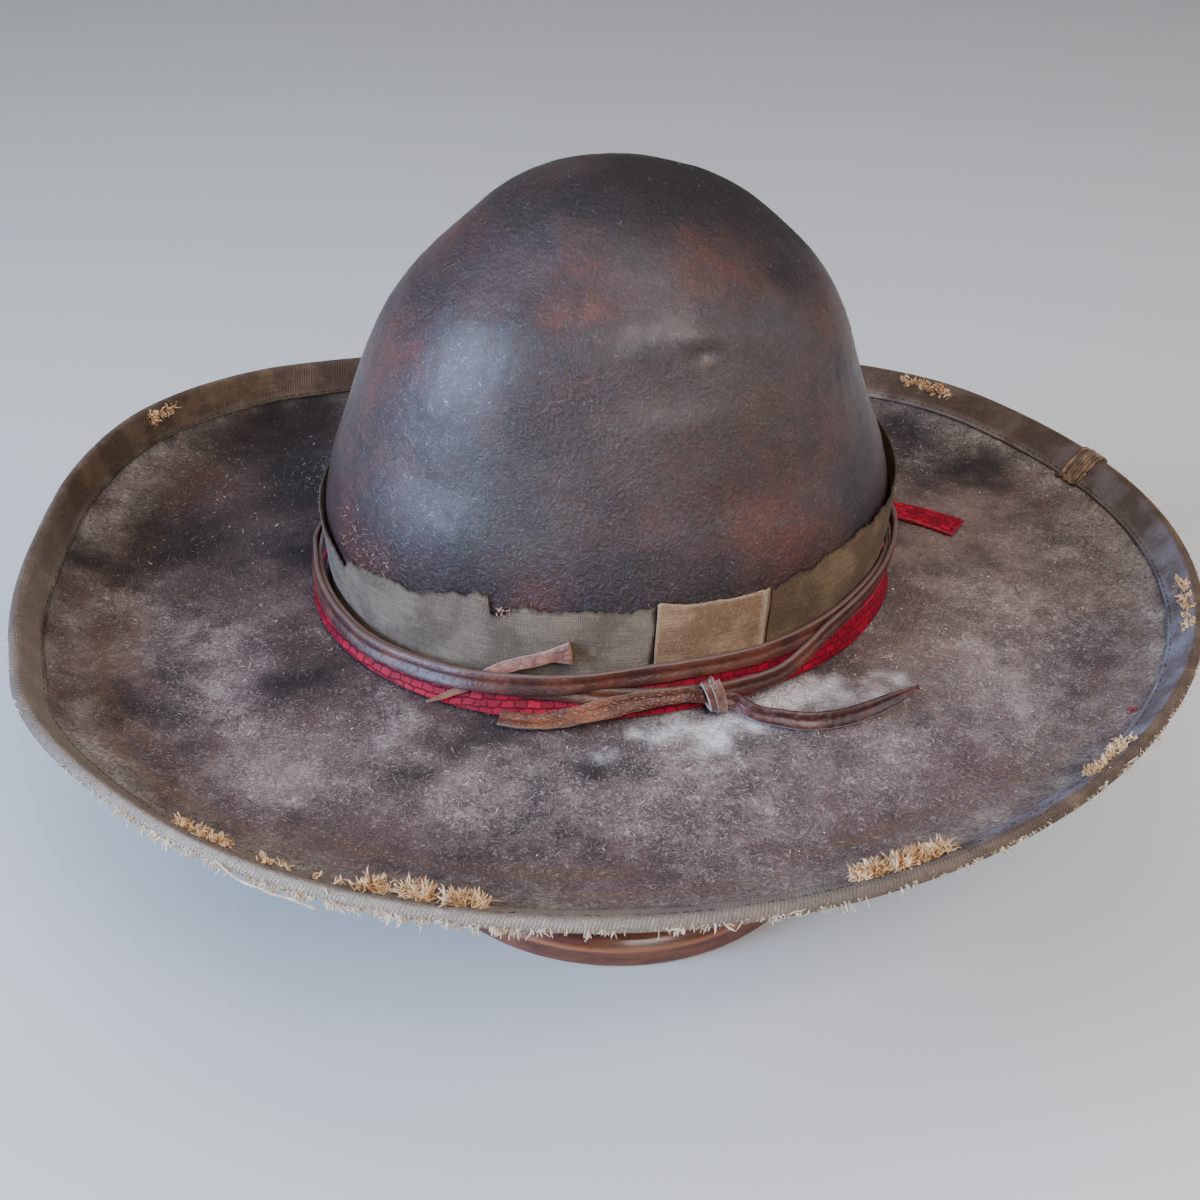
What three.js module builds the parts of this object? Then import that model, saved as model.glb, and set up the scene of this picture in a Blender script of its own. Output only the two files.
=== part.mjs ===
// A wide-brimmed felt hat with a round open crown, worn hard, on a turned wooden stand.
// It is trimmed with a torn ribbon, a red leather band and a leather lace tied in a knot.
// Millimetres, +Z up. +X runs along the hat's longer side, and the knot faces -Y.
// The origin is the centre of the stand's underside.

import * as THREE from "three";

// Clearances
const seam = 0.3; // between pieces that lie on each other
const seatGap = 0.6; // between the stand's dome and the inside of the crown

// Stand
const standHeight = 278.4; // floor to the top of the dome
const baseRadius = 82;
const baseEdge = 8; // height of the base's upright edge
const baseCove = 5; // height of the hollow moulding above the edge
const baseInset = 7; // how far the moulding steps in
const baseCrown = 4; // rise of the base's top towards the post
const collarRadius = 24;
const collarHeight = 9;
const postRadius = 13;
const postWaist = 9.5; // radius of the post at its middle
const domeRadius = 44;
const domeSkirt = 6; // height of the dome's upright rim
const hatAside = { x: -5.7, y: 0.6 }; // the hat sits a little off the stand's axis

// Hat body
const crownLength = 203; // outside, along X
const crownWidth = 170.5; // outside, along Y
const crownHeight = 159;
const feltThickness = 2.6;
const breakRadius = 3; // where the crown turns into the brim
const brimWidth = 110;
const rimRise = 21; // scale of the rim's rise above the crown's foot

// Trim
const bindingWidth = 15; // the folded ribbon's reach in from the rim, on each side
const bindingThickness = 1;
const ribbonWidth = 42; // crown ribbon, brim to its torn top edge
const ribbonThickness = 1;
const ribbonLift = 3.2; // how far the ribbon's torn edge springs off the crown
const strapHeight = 12; // red band, as it leans on the crown, and its loose end's width
const strapThickness = 1.4;
const strapLean = 6.2; // how far the red band's foot stands out from its top
const laceWidth = 6;
const laceThickness = 1.6;
const knotSize = { along: 8, out: 8.5, high: 14.6 };
const slipWidth = 6; // leather slip tucked behind the lace
const slipThickness = 1.2;
const threadWidth = 14; // bundle of thread turns, along the rim
const threadAround = 19.7; // where the bundle sits, in degrees round the rim
const threadThickness = 1.1;

// Fineness
const columns = 56; // facets round the hat
const turned = 32; // facets round the stand

const degrees = THREE.MathUtils.degToRad;

// Crown sections from foot to top, in the middle of each section's outline.
// height is a share of crownHeight, reach of crownLength and crownWidth,
// and shiftX and shiftY are shares of crownLength.
const crownSections = [
  { height: 0.0, reach: 0.985, shiftX: 0.004, shiftY: 0.0 },
  { height: 0.12, reach: 0.996, shiftX: 0.004, shiftY: 0.0 },
  { height: 0.24, reach: 1.0, shiftX: 0.008, shiftY: -0.002 },
  { height: 0.35, reach: 0.968, shiftX: 0.012, shiftY: -0.004 },
  { height: 0.45, reach: 0.909, shiftX: 0.012, shiftY: -0.006 },
  { height: 0.54, reach: 0.86, shiftX: 0.012, shiftY: -0.01 },
  { height: 0.62, reach: 0.815, shiftX: 0.016, shiftY: -0.013 },
  { height: 0.7, reach: 0.757, shiftX: 0.022, shiftY: -0.016 },
  { height: 0.77, reach: 0.684, shiftX: 0.028, shiftY: -0.018 },
  { height: 0.83, reach: 0.597, shiftX: 0.031, shiftY: -0.02 },
  { height: 0.89, reach: 0.495, shiftX: 0.03, shiftY: -0.021 },
  { height: 0.935, reach: 0.405, shiftX: 0.028, shiftY: -0.022 },
  { height: 0.968, reach: 0.3, shiftX: 0.024, shiftY: -0.022 },
  { height: 0.99, reach: 0.17, shiftX: 0.02, shiftY: -0.022 },
  { height: 1.0, reach: 0.0, shiftX: 0.016, shiftY: -0.022 },
];

// Dents pressed into the crown. around is in degrees, height a share of crownHeight,
// wide and tall are the dent's half sizes and depth its depth, as shares of crownWidth.
const crownDents = [
  { around: 288, height: 0.66, wide: 0.14, tall: 0.07, depth: 0.021 },
  { around: 300, height: 0.5, wide: 0.17, tall: 0.06, depth: 0.016 },
  { around: 283, height: 0.41, wide: 0.15, tall: 0.045, depth: 0.01 },
  { around: 262, height: 0.6, wide: 0.1, tall: 0.09, depth: 0.009 },
  { around: 60, height: 0.62, wide: 0.18, tall: 0.12, depth: 0.02 },
  { around: 135, height: 0.55, wide: 0.16, tall: 0.1, depth: 0.015 },
];

// The felt's rim, by the angle round the crown's foot. reach is a share of brimWidth, rise a share
// of rimRise, and curl is the slope of the bound edge in degrees.
const rimTable = [
  { around: 0, reach: 1.035, rise: 0.582, curl: 47 },
  { around: 30, reach: 1.03, rise: 0.491, curl: 44 },
  { around: 45, reach: 1.075, rise: 0.34, curl: 43 },
  { around: 60, reach: 1.07, rise: 0.165, curl: 44 },
  { around: 90, reach: 0.993, rise: 0.035, curl: 48 },
  { around: 120, reach: 1.108, rise: 0.165, curl: 60 },
  { around: 135, reach: 1.16, rise: 0.405, curl: 70 },
  { around: 150, reach: 1.135, rise: 0.645, curl: 74 },
  { around: 165, reach: 1.036, rise: 0.829, curl: 73 },
  { around: 180, reach: 0.969, rise: 0.915, curl: 71 },
  { around: 200, reach: 1.025, rise: 0.87, curl: 60 },
  { around: 210, reach: 1.083, rise: 0.805, curl: 54 },
  { around: 225, reach: 1.085, rise: 0.65, curl: 45 },
  { around: 240, reach: 1.076, rise: 0.495, curl: 37 },
  { around: 270, reach: 1.02, rise: 0.272, curl: 30 },
  { around: 300, reach: 1.006, rise: 0.267, curl: 35 },
  { around: 330, reach: 1.025, rise: 0.429, curl: 44 },
  { around: 345, reach: 1.04, rise: 0.53, curl: 46 },
];

// The ribbon's torn top edge. height is a share of ribbonWidth and lift of ribbonLift.
const tornEdge = [
  { around: 0, height: 1.2, lift: 0.9 },
  { around: 20, height: 1.36, lift: 0.7 },
  { around: 45, height: 1.12, lift: 0.2 },
  { around: 90, height: 1.0, lift: 0.0 },
  { around: 140, height: 1.02, lift: 0.1 },
  { around: 175, height: 0.96, lift: 0.4 },
  { around: 190, height: 0.86, lift: 0.5 },
  { around: 203, height: 0.8, lift: 0.45 },
  { around: 208, height: 0.68, lift: 0.15 },
  { around: 220, height: 0.8, lift: 0.0 },
  { around: 235, height: 0.84, lift: 0.0 },
  { around: 245, height: 0.96, lift: 0.0 },
  { around: 249, height: 0.79, lift: 0.0 },
  { around: 256, height: 0.88, lift: 0.0 },
  { around: 278, height: 0.9, lift: 0.0 },
  { around: 290, height: 0.93, lift: 0.0 },
  { around: 303, height: 0.92, lift: 0.0 },
  { around: 315, height: 1.03, lift: 0.0 },
  { around: 328, height: 1.08, lift: 0.1 },
  { around: 345, height: 1.08, lift: 0.6 },
];

// The ribbon is patched from three lengths, butted end to end round the crown.
const ribbonPieces = [
  { name: "ribbon_grey", from: 150, to: 279, colour: 0x77736a },
  { name: "ribbon_tan_patch", from: 279, to: 302, colour: 0x93764f },
  { name: "ribbon_olive", from: 302, to: 510, colour: 0x6b5d45 },
];

// How far the red band's foot leans out, as a share of strapLean.
const strapFoot = [
  { around: 0, lean: 0.6 },
  { around: 60, lean: 0.6 },
  { around: 120, lean: 0.5 },
  { around: 180, lean: 0.45 },
  { around: 215, lean: 0.85 },
  { around: 245, lean: 1.3 },
  { around: 265, lean: 1.2 },
  { around: 290, lean: 0.8 },
  { around: 330, lean: 0.7 },
];

// The lace goes round twice. height is the middle of the strand above the crown's foot, a
// share of laceWidth. layer counts the thicknesses of lace between the strand and the trim.
const upperTurn = [
  { around: 0, height: 3.1, layer: 0 },
  { around: 45, height: 2.6, layer: 0 },
  { around: 90, height: 2.2, layer: 0 },
  { around: 145, height: 2.2, layer: 0 },
  { around: 165, height: 2.3, layer: 1 },
  { around: 185, height: 2.2, layer: 1 },
  { around: 203, height: 1.75, layer: 1 },
  { around: 220, height: 1.4, layer: 1 },
  { around: 236, height: 1.6, layer: 1.2 },
  { around: 242, height: 1.8, layer: 2.15 },
  { around: 262, height: 2.25, layer: 2.15 },
  { around: 272, height: 2.5, layer: 1.2 },
  { around: 286, height: 2.55, layer: 0 },
  { around: 300, height: 2.55, layer: 0 },
  { around: 315, height: 2.8, layer: 0 },
  { around: 330, height: 3.3, layer: 0 },
  { around: 345, height: 3.4, layer: 0 },
];
const secondTurn = [
  { around: 296.4, height: 1.25, layer: 1.2 },
  { around: 302, height: 1.3, layer: 1.2 },
  { around: 308, height: 1.8, layer: 1.2 },
  { around: 314, height: 2.5, layer: 1.2 },
  { around: 322, height: 3.0, layer: 1.1 },
  { around: 335, height: 3.5, layer: 1.05 },
  { around: 350, height: 3.9, layer: 1.05 },
  { around: 359, height: 4.15, layer: 1.05 },
  { around: 380, height: 4.2, layer: 0.2 },
  { around: 405, height: 3.8, layer: 0 },
  { around: 450, height: 3.4, layer: 0 },
  { around: 505, height: 3.4, layer: 0 },
  { around: 530, height: 3.0, layer: 0 },
  { around: 545, height: 2.2, layer: 0 },
  { around: 565, height: 1.7, layer: 0 },
  { around: 580, height: 1.4, layer: 0 },
  { around: 597, height: 1.55, layer: 0.2 },
  { around: 602, height: 1.65, layer: 1.05 },
  { around: 620, height: 1.75, layer: 1.05 },
  { around: 627, height: 1.5, layer: 0.5 },
  { around: 634, height: 1.3, layer: 0 },
  { around: 648, height: 1.1, layer: 0 },
];

// The slip tucked behind the lace, from its point to its flared end. height and clear,
// its distance from the trim, are shares of laceWidth, and wide is a share of slipWidth.
const slipRoute = [
  { around: 239, height: 0.32, clear: 0.9, wide: 0.12 },
  { around: 242.7, height: 0.76, clear: 0.2, wide: 0.4 },
  { around: 246.2, height: 1.4, clear: 0, wide: 0.6 },
  { around: 249.6, height: 2.15, clear: 0, wide: 0.7 },
  { around: 254, height: 2.75, clear: 0, wide: 0.75 },
  { around: 257.5, height: 3.15, clear: 0, wide: 0.8 },
  { around: 261, height: 3.6, clear: 0.05, wide: 1.1 },
  { around: 264, height: 3.85, clear: 0.1, wide: 1.55 },
];

// Loose ends that lie on the brim. out is the distance from the crown's foot and rest the
// height of the strip's middle over the brim, both shares of laceWidth. roll is how far
// the strip is turned up on its edge, in degrees, and wide its share of the full width.
const leftTail = [
  { around: 286.6, out: 1.95, rest: 1.72, roll: 66, wide: 0.8 },
  { around: 283, out: 1.85, rest: 1.66, roll: 64, wide: 0.9 },
  { around: 277.5, out: 1.8, rest: 1.48, roll: 58, wide: 1.05 },
  { around: 271, out: 1.95, rest: 1.14, roll: 50, wide: 1.15 },
  { around: 264, out: 2.3, rest: 0.78, roll: 38, wide: 1.1 },
  { around: 257.8, out: 2.65, rest: 0.55, roll: 28, wide: 1.0 },
  { around: 253, out: 2.72, rest: 0.5, roll: 24, wide: 1.0 },
  { around: 250, out: 2.7, rest: 0.48, roll: 24, wide: 0.9 },
];
const rightTail = [
  { around: 295.4, out: 2.2, rest: 1.0, roll: 66, wide: 0.9 },
  { around: 298, out: 3.3, rest: 0.72, roll: 66, wide: 0.9 },
  { around: 301.7, out: 4.2, rest: 0.6, roll: 62, wide: 1.0 },
  { around: 305.6, out: 5.05, rest: 0.58, roll: 62, wide: 1.0 },
  { around: 311.4, out: 5.65, rest: 0.58, roll: 60, wide: 1.0 },
  { around: 318.6, out: 5.9, rest: 0.52, roll: 58, wide: 0.85 },
  { around: 325.1, out: 6.05, rest: 0.34, roll: 56, wide: 0.25 },
];
const redTail = [
  { around: 30, out: 2.6, rest: 0.28, roll: 0, wide: 0.8 },
  { around: 22.8, out: 4.25, rest: 0.24, roll: 0, wide: 0.9 },
  { around: 18.2, out: 5.85, rest: 0.22, roll: 0, wide: 1.0 },
  { around: 13.9, out: 7.35, rest: 0.22, roll: 0, wide: 1.08 },
];

// A point between the rows of a table, on a smooth curve through them.
function along(table, column, at, period = 0) {
  const count = table.length;
  const place = (i) => {
    if (!period) return table[THREE.MathUtils.clamp(i, 0, count - 1)];
    const turns = Math.floor(i / count);
    const row = table[i - turns * count];
    return { ...row, around: row.around + turns * period };
  };
  const key = "around" in table[0] ? "around" : "height";
  let x = at;
  if (period) x = table[0][key] + THREE.MathUtils.euclideanModulo(at - table[0][key], period);
  let i = 0;
  const last = period ? count - 1 : count - 2;
  while (i < last && place(i + 1)[key] < x) i++;
  const [a, b, c, d] = [place(i - 1), place(i), place(i + 1), place(i + 2)];
  const span = c[key] - b[key];
  const t = THREE.MathUtils.clamp((x - b[key]) / span, 0, 1);
  const slope = (p, q) => (q[key] === p[key] ? 0 : (q[column] - p[column]) / (q[key] - p[key]));
  const start = slope(a, c) * span;
  const end = slope(b, d) * span;
  const t2 = t * t;
  const t3 = t2 * t;
  return (
    (2 * t3 - 3 * t2 + 1) * b[column] +
    (t3 - 2 * t2 + t) * start +
    (3 * t2 - 2 * t3) * c[column] +
    (t3 - t2) * end
  );
}

// Closed solids from rings of points. A ring of one point is a pole.
function makeSolid(points, faces) {
  let volume = 0;
  for (const [a, b, c] of faces) volume += points[a].dot(points[b].clone().cross(points[c]));
  const turnedOut = volume < 0 ? faces.map(([a, b, c]) => [a, c, b]) : faces;
  const geometry = new THREE.BufferGeometry();
  const flat = points.flatMap((p) => [p.x, p.y, p.z]);
  geometry.setAttribute("position", new THREE.Float32BufferAttribute(flat, 3));
  geometry.setIndex(turnedOut.flat());
  geometry.computeVertexNormals();
  return geometry;
}

// Rings stacked one after another. With loop, the last ring meets the first.
function ringSolid(rings, loop = false) {
  const points = rings.flat();
  const starts = [];
  rings.reduce((sum, ring) => (starts.push(sum), sum + ring.length), 0);
  const faces = [];
  const joins = loop ? rings.length : rings.length - 1;
  for (let r = 0; r < joins; r++) {
    const next = (r + 1) % rings.length;
    const round = Math.max(rings[r].length, rings[next].length);
    for (let i = 0; i < round; i++) {
      const j = (i + 1) % round;
      const low = (k) => starts[r] + (rings[r].length === 1 ? 0 : k);
      const high = (k) => starts[next] + (rings[next].length === 1 ? 0 : k);
      if (rings[r].length > 1) faces.push([low(i), low(j), high(j)]);
      if (rings[next].length > 1) faces.push([low(i), high(j), high(i)]);
    }
  }
  return makeSolid(points, faces);
}

// A thin strip from its stations, each with as many face points as back points.
function stripSolid(stations, closed = false) {
  const rows = stations[0].face.length;
  const points = stations.flatMap((s) => [...s.face, ...s.back]);
  const at = (station, side, row) => (station % stations.length) * 2 * rows + side * rows + row;
  const faces = [];
  const quad = (a, b, c, d) => faces.push([a, b, c], [a, c, d]);
  const joins = closed ? stations.length : stations.length - 1;
  for (let s = 0; s < joins; s++) {
    for (let r = 0; r < rows - 1; r++) {
      quad(at(s, 0, r), at(s + 1, 0, r), at(s + 1, 0, r + 1), at(s, 0, r + 1));
      quad(at(s, 1, r), at(s, 1, r + 1), at(s + 1, 1, r + 1), at(s + 1, 1, r));
    }
    quad(at(s, 0, 0), at(s, 1, 0), at(s + 1, 1, 0), at(s + 1, 0, 0));
    const top = rows - 1;
    quad(at(s, 0, top), at(s + 1, 0, top), at(s + 1, 1, top), at(s, 1, top));
  }
  if (!closed) {
    const end = stations.length - 1;
    for (let r = 0; r < rows - 1; r++) {
      quad(at(0, 0, r), at(0, 0, r + 1), at(0, 1, r + 1), at(0, 1, r));
      quad(at(end, 0, r), at(end, 1, r), at(end, 1, r + 1), at(end, 0, r + 1));
    }
  }
  return makeSolid(points, faces);
}

// Crown
function crownPoint(around, height, out = 0) {
  const share = height / crownHeight;
  const reach = along(crownSections, "reach", share);
  const turn = degrees(around);
  return new THREE.Vector3(
    along(crownSections, "shiftX", share) * crownLength +
      ((reach * crownLength) / 2 + out) * Math.cos(turn),
    along(crownSections, "shiftY", share) * crownLength +
      ((reach * crownWidth) / 2 + out) * Math.sin(turn),
    height,
  );
}

function crownNormal(around, height) {
  const step = 0.01;
  const up = crownPoint(around, height + step * crownHeight).sub(crownPoint(around, height));
  const round = crownPoint(around + 1, height).sub(crownPoint(around, height));
  return round.cross(up).normalize();
}

function dentDepth(point) {
  let depth = 0;
  for (const dent of crownDents) {
    const middle = crownPoint(dent.around, dent.height * crownHeight);
    const flatAway = Math.hypot(point.x - middle.x, point.y - middle.y) / (dent.wide * crownWidth);
    const upAway = (point.z - middle.z) / (dent.tall * crownWidth);
    const away = flatAway ** 2 + upAway ** 2;
    depth += dent.depth * crownWidth * Math.exp(-away);
  }
  return depth;
}

// Brim
function footRadius(around) {
  const turn = degrees(around);
  const low = crownSections[0].reach;
  const halfLength = (low * crownLength) / 2;
  const halfWidth = (low * crownWidth) / 2;
  return 1 / Math.hypot(Math.cos(turn) / halfLength, Math.sin(turn) / halfWidth);
}

function polar(around, radius, height) {
  const turn = degrees(around);
  const shift = crownSections[0].shiftX * crownLength;
  return new THREE.Vector3(shift + radius * Math.cos(turn), radius * Math.sin(turn), height);
}

function brimProfile(around) {
  const row = (column) => along(rimTable, column, around, 360);
  const curl = degrees(row("curl"));
  const rim = new THREE.Vector2(footRadius(around) + row("reach") * brimWidth, row("rise") * rimRise);
  const slope = new THREE.Vector2(Math.cos(curl), Math.sin(curl));
  const crease = rim.clone().addScaledVector(slope, -bindingWidth);
  const foot = new THREE.Vector2(footRadius(around) + breakRadius, 0);
  const reach = crease.x - foot.x;
  const softSlope = new THREE.Vector2(Math.cos(curl * 0.55), Math.sin(curl * 0.55));
  const flat = new THREE.CubicBezierCurve(
    foot,
    new THREE.Vector2(foot.x + reach * 0.45, 0),
    crease.clone().addScaledVector(softSlope, -reach * 0.25),
    crease,
  );
  return { flat, crease, rim, slope };
}

// Height of the brim's upper face at a distance from the crown's foot.
function brimHeight(around, out) {
  const { flat } = brimProfile(around);
  const radius = footRadius(around) + Math.max(out, breakRadius);
  let low = 0;
  let high = 1;
  for (let i = 0; i < 24; i++) {
    const middle = (low + high) / 2;
    if (flat.getPoint(middle).x < radius) low = middle;
    else high = middle;
  }
  return flat.getPoint(low).y;
}

const sectionHeights = [1, 0.99, 0.968, 0.93, 0.885, 0.83, 0.77, 0.7, 0.62, 0.54, 0.45, 0.35, 0.24, 0.12];
const breakSteps = 3;
const brimSteps = 6;

// The polar angle at which a column of the crown meets the brim.
function columnAngle(column) {
  const turn = (2 * Math.PI * column) / columns;
  const low = crownSections[0].reach;
  const foot = [low * crownLength * Math.cos(turn), low * crownWidth * Math.sin(turn)];
  return THREE.MathUtils.radToDeg(Math.atan2(foot[1], foot[0]));
}

function columnFace(column) {
  const turn = (360 * column) / columns;
  const points = [];
  for (const share of sectionHeights.slice(1)) {
    const point = crownPoint(turn, share * crownHeight);
    const normal = crownNormal(turn, share * crownHeight);
    points.push(point.addScaledVector(normal, -dentDepth(point)));
  }
  points.push(crownPoint(turn, breakRadius));
  const around = columnAngle(column);
  for (let i = 1; i < breakSteps; i++) {
    const bend = (i / breakSteps) * (Math.PI / 2);
    const radius = footRadius(around) + breakRadius * (1 - Math.cos(bend));
    points.push(polar(around, radius, breakRadius * (1 - Math.sin(bend))));
  }
  const { flat, rim } = brimProfile(around);
  for (let i = 0; i <= brimSteps; i++) {
    const spot = flat.getPoint(i / brimSteps);
    points.push(polar(around, spot.x, spot.y));
  }
  points.push(polar(around, rim.x, rim.y));
  return points;
}

const faceGrid = Array.from({ length: columns }, (_, column) => columnFace(column));

// Normal of the felt's outer face at a grid point. The rim row uses the bound edge's own.
function faceNormal(column, row) {
  const rows = faceGrid[0].length;
  const at = (c, r) => faceGrid[(c + columns) % columns][THREE.MathUtils.clamp(r, 0, rows - 1)];
  const round = at(column + 1, row).clone().sub(at(column - 1, row));
  const down = at(column, row + 1).clone().sub(at(column, row - 1));
  return down.cross(round).normalize();
}

function feltGeometry() {
  const rows = faceGrid[0].length;
  const top = crownPoint(0, crownHeight);
  const rings = [[top]];
  for (let row = 0; row < rows; row++) rings.push(faceGrid.map((face) => face[row]));
  for (let row = rows - 1; row >= 0; row--) {
    rings.push(
      faceGrid.map((face, column) =>
        face[row].clone().addScaledVector(faceNormal(column, row), -feltThickness),
      ),
    );
  }
  rings.push([top.clone().setZ(crownHeight - feltThickness)]);
  return ringSolid(rings);
}

// A folded channel over the rim. Its points are (in from the rim, off the felt's middle).
function channelSection(depth, gap, thickness) {
  const half = feltThickness / 2;
  const wall = (off, nose) => [
    [depth, half + off],
    [0, half + off],
    [-off, nose],
    [-off, -nose],
    [0, -half - off],
    [depth, -half - off],
  ];
  return { face: wall(gap + thickness, half * 0.7), back: wall(gap, half) };
}

function rimStation(column, section) {
  const rows = faceGrid[0].length;
  const whole = Math.floor(column);
  const part = column - whole;
  const wrap = (c) => THREE.MathUtils.euclideanModulo(c, columns);
  const mix = (row) => faceGrid[wrap(whole)][row].clone().lerp(faceGrid[wrap(whole + 1)][row], part);
  const here = faceNormal(wrap(whole), rows - 1);
  const normal = here.lerp(faceNormal(wrap(whole + 1), rows - 1), part).normalize();
  const rim = mix(rows - 1);
  const outward = rim.clone().sub(mix(rows - 2)).normalize();
  const place = ([inward, off]) =>
    rim
      .clone()
      .addScaledVector(outward, -inward)
      .addScaledVector(normal, off - feltThickness / 2);
  return { face: section.face.map(place), back: section.back.map(place) };
}

function bindingGeometry() {
  const section = channelSection(bindingWidth - 2 * seam, seam, bindingThickness);
  const stations = Array.from({ length: columns }, (_, column) => rimStation(column, section));
  return stripSolid(stations, true);
}

// Thread bound round the rim, over the binding
function threadGeometry() {
  const section = channelSection(bindingWidth, 2 * seam + bindingThickness, threadThickness);
  const rimStep = (2 * Math.PI * (crownLength / 2 + brimWidth)) / columns;
  const half = threadWidth / rimStep / 2;
  const middle = columnOf(threadAround);
  const steps = 4;
  const stations = [];
  for (let i = 0; i <= steps; i++) {
    stations.push(rimStation(middle + half * ((2 * i) / steps - 1), section));
  }
  return stripSolid(stations);
}

function columnOf(around) {
  const low = crownSections[0].reach;
  const turn = degrees(around);
  const spot = [Math.cos(turn) / (low * crownLength), Math.sin(turn) / (low * crownWidth)];
  return (Math.atan2(spot[1], spot[0]) / (2 * Math.PI)) * columns;
}

// Ribbon round the foot of the crown
const ribbonFoot = breakRadius + seam;
const ribbonRows = [0, 0.4, 0.75, 1];

function tornHeight(around) {
  return along(tornEdge, "height", around, 360) * ribbonWidth;
}

// How far the ribbon's back stands off the crown at a height.
function ribbonOff(around, height) {
  const lift = Math.max(0, along(tornEdge, "lift", around, 360)) * ribbonLift;
  const share = (height - ribbonFoot) / (tornHeight(around) - ribbonFoot);
  return seam + lift * THREE.MathUtils.clamp(share, 0, 1) ** 4;
}

function ribbonStation(around) {
  const heights = ribbonRows.map((share) => THREE.MathUtils.lerp(ribbonFoot, tornHeight(around), share));
  const wall = (thickness) =>
    heights.map((height) => crownPoint(around, height, ribbonOff(around, height) + thickness));
  return { face: wall(ribbonThickness), back: wall(0) };
}

function ribbonGeometry(piece) {
  const cut = seam / 2 / degrees(1) / (crownWidth / 2); // half a seam, in degrees
  const from = piece.from + cut;
  const to = piece.to - cut;
  const steps = Math.ceil((to - from) / (360 / columns));
  const stations = [];
  for (let i = 0; i <= steps; i++) stations.push(ribbonStation(from + ((to - from) * i) / steps));
  return stripSolid(stations);
}

// Red band. Its top leans on the ribbon and its foot stands out on the brim.
const strapFootHeight = 3 * seam;
const strapTop = strapFootHeight + strapHeight;

function strapOut(around, height) {
  const lean = along(strapFoot, "lean", around, 360) * strapLean;
  const topOut = ribbonOff(around, strapTop) + ribbonThickness + seam + strapThickness;
  return topOut + lean * Math.max(0, 1 - height / strapTop);
}

function strapGeometry() {
  const stations = [];
  for (let column = 0; column < columns; column++) {
    const around = (360 * column) / columns;
    const heights = [strapFootHeight, strapTop];
    stations.push({
      face: heights.map((height) => crownPoint(around, height, strapOut(around, height))),
      back: heights.map((height) => crownPoint(around, height, strapOut(around, height) - strapThickness)),
    });
  }
  return stripSolid(stations, true);
}

// What the lace lies on, at a height: the red band, and the ribbon above it.
function trimOut(around, height) {
  const above = (height - strapTop) / laceWidth;
  if (above < 0) return strapOut(around, height);
  const ribbonFace = ribbonOff(around, height) + ribbonThickness;
  const strapEdge = strapOut(around, strapTop);
  return Math.max(ribbonFace, THREE.MathUtils.lerp(strapEdge, ribbonFace, above));
}

// A flat strand against the trim, from its lower to its upper edge.
function strandStation(around, middle, width, clear, thickness) {
  const heights = [middle - width / 2, middle + width / 2];
  const wall = (off) => heights.map((height) => crownPoint(around, height, trimOut(around, height) + off));
  return { face: wall(clear + thickness), back: wall(clear) };
}

function turnStation(table, around, period, width) {
  const middle = along(table, "height", around, period) * laceWidth;
  const layer = Math.max(0, along(table, "layer", around, period));
  const clear = seam + layer * (laceThickness + seam);
  return strandStation(around, middle, width, clear, laceThickness);
}

function upperTurnGeometry() {
  const stations = [];
  for (let i = 0; i < columns; i++) {
    stations.push(turnStation(upperTurn, (360 * i) / columns, 360, laceWidth));
  }
  return stripSolid(stations, true);
}

// Stations evenly along a table that doesn't close on itself.
function stationsAlong(table, station) {
  const from = table[0].around;
  const to = table[table.length - 1].around;
  const steps = Math.max(2 * table.length, Math.ceil(((to - from) * columns) / 360));
  return Array.from({ length: steps + 1 }, (_, i) => station(THREE.MathUtils.lerp(from, to, i / steps)));
}

const secondWidth = 0.85; // the second turn's width, a share of laceWidth

function secondTurnGeometry() {
  const width = secondWidth * laceWidth;
  return stripSolid(stationsAlong(secondTurn, (around) => turnStation(secondTurn, around, 0, width)));
}

function slipGeometry() {
  return stripSolid(
    stationsAlong(slipRoute, (around) => {
      const middle = along(slipRoute, "height", around) * laceWidth;
      const clear = seam + Math.max(0, along(slipRoute, "clear", around)) * laceWidth;
      const width = along(slipRoute, "wide", around) * slipWidth;
      return strandStation(around, middle, width, clear, slipThickness);
    }),
  );
}

// A loose end on the brim
function tailGeometry(table, width, thickness) {
  const centre = (row) => {
    const out = row.out * laceWidth;
    const height = brimHeight(row.around, out) + row.rest * laceWidth;
    return polar(row.around, footRadius(row.around) + out, height);
  };
  const route = new THREE.CatmullRomCurve3(table.map(centre), false, "centripetal");
  const steps = 2 * (table.length - 1);
  const up = new THREE.Vector3(0, 0, 1);
  const stations = [];
  for (let i = 0; i <= steps; i++) {
    const place = i / 2;
    const index = Math.min(Math.floor(place), table.length - 2);
    const between = (column) =>
      THREE.MathUtils.lerp(table[index][column], table[index + 1][column], place - index);
    const roll = degrees(between("roll"));
    const spot = route.getPoint(i / steps);
    const forward = route.getTangent(i / steps);
    const inward = up.clone().cross(forward).normalize();
    if (inward.dot(spot) > 0) inward.negate();
    const across = inward.multiplyScalar(Math.cos(roll)).addScaledVector(up, Math.sin(roll));
    const outward = forward.clone().cross(across).normalize();
    if (outward.z < 0) outward.negate();
    const half = (width / 2) * between("wide");
    const corner = (side, off) =>
      spot.clone().addScaledVector(across, side * half).addScaledVector(outward, off * thickness);
    stations.push({ face: [corner(-1, 0.5), corner(1, 0.5)], back: [corner(-1, -0.5), corner(1, -0.5)] });
  }
  return stripSolid(stations);
}

// Knot, a tight upright turn of lace over the crossing
const knotAround = 291.8;
const knotOut = strapOut(knotAround, knotSize.high / 2) + 2 * seam + laceThickness + knotSize.out / 2;
const knotHeight = knotSize.high / 2 + 2 * seam;

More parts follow.
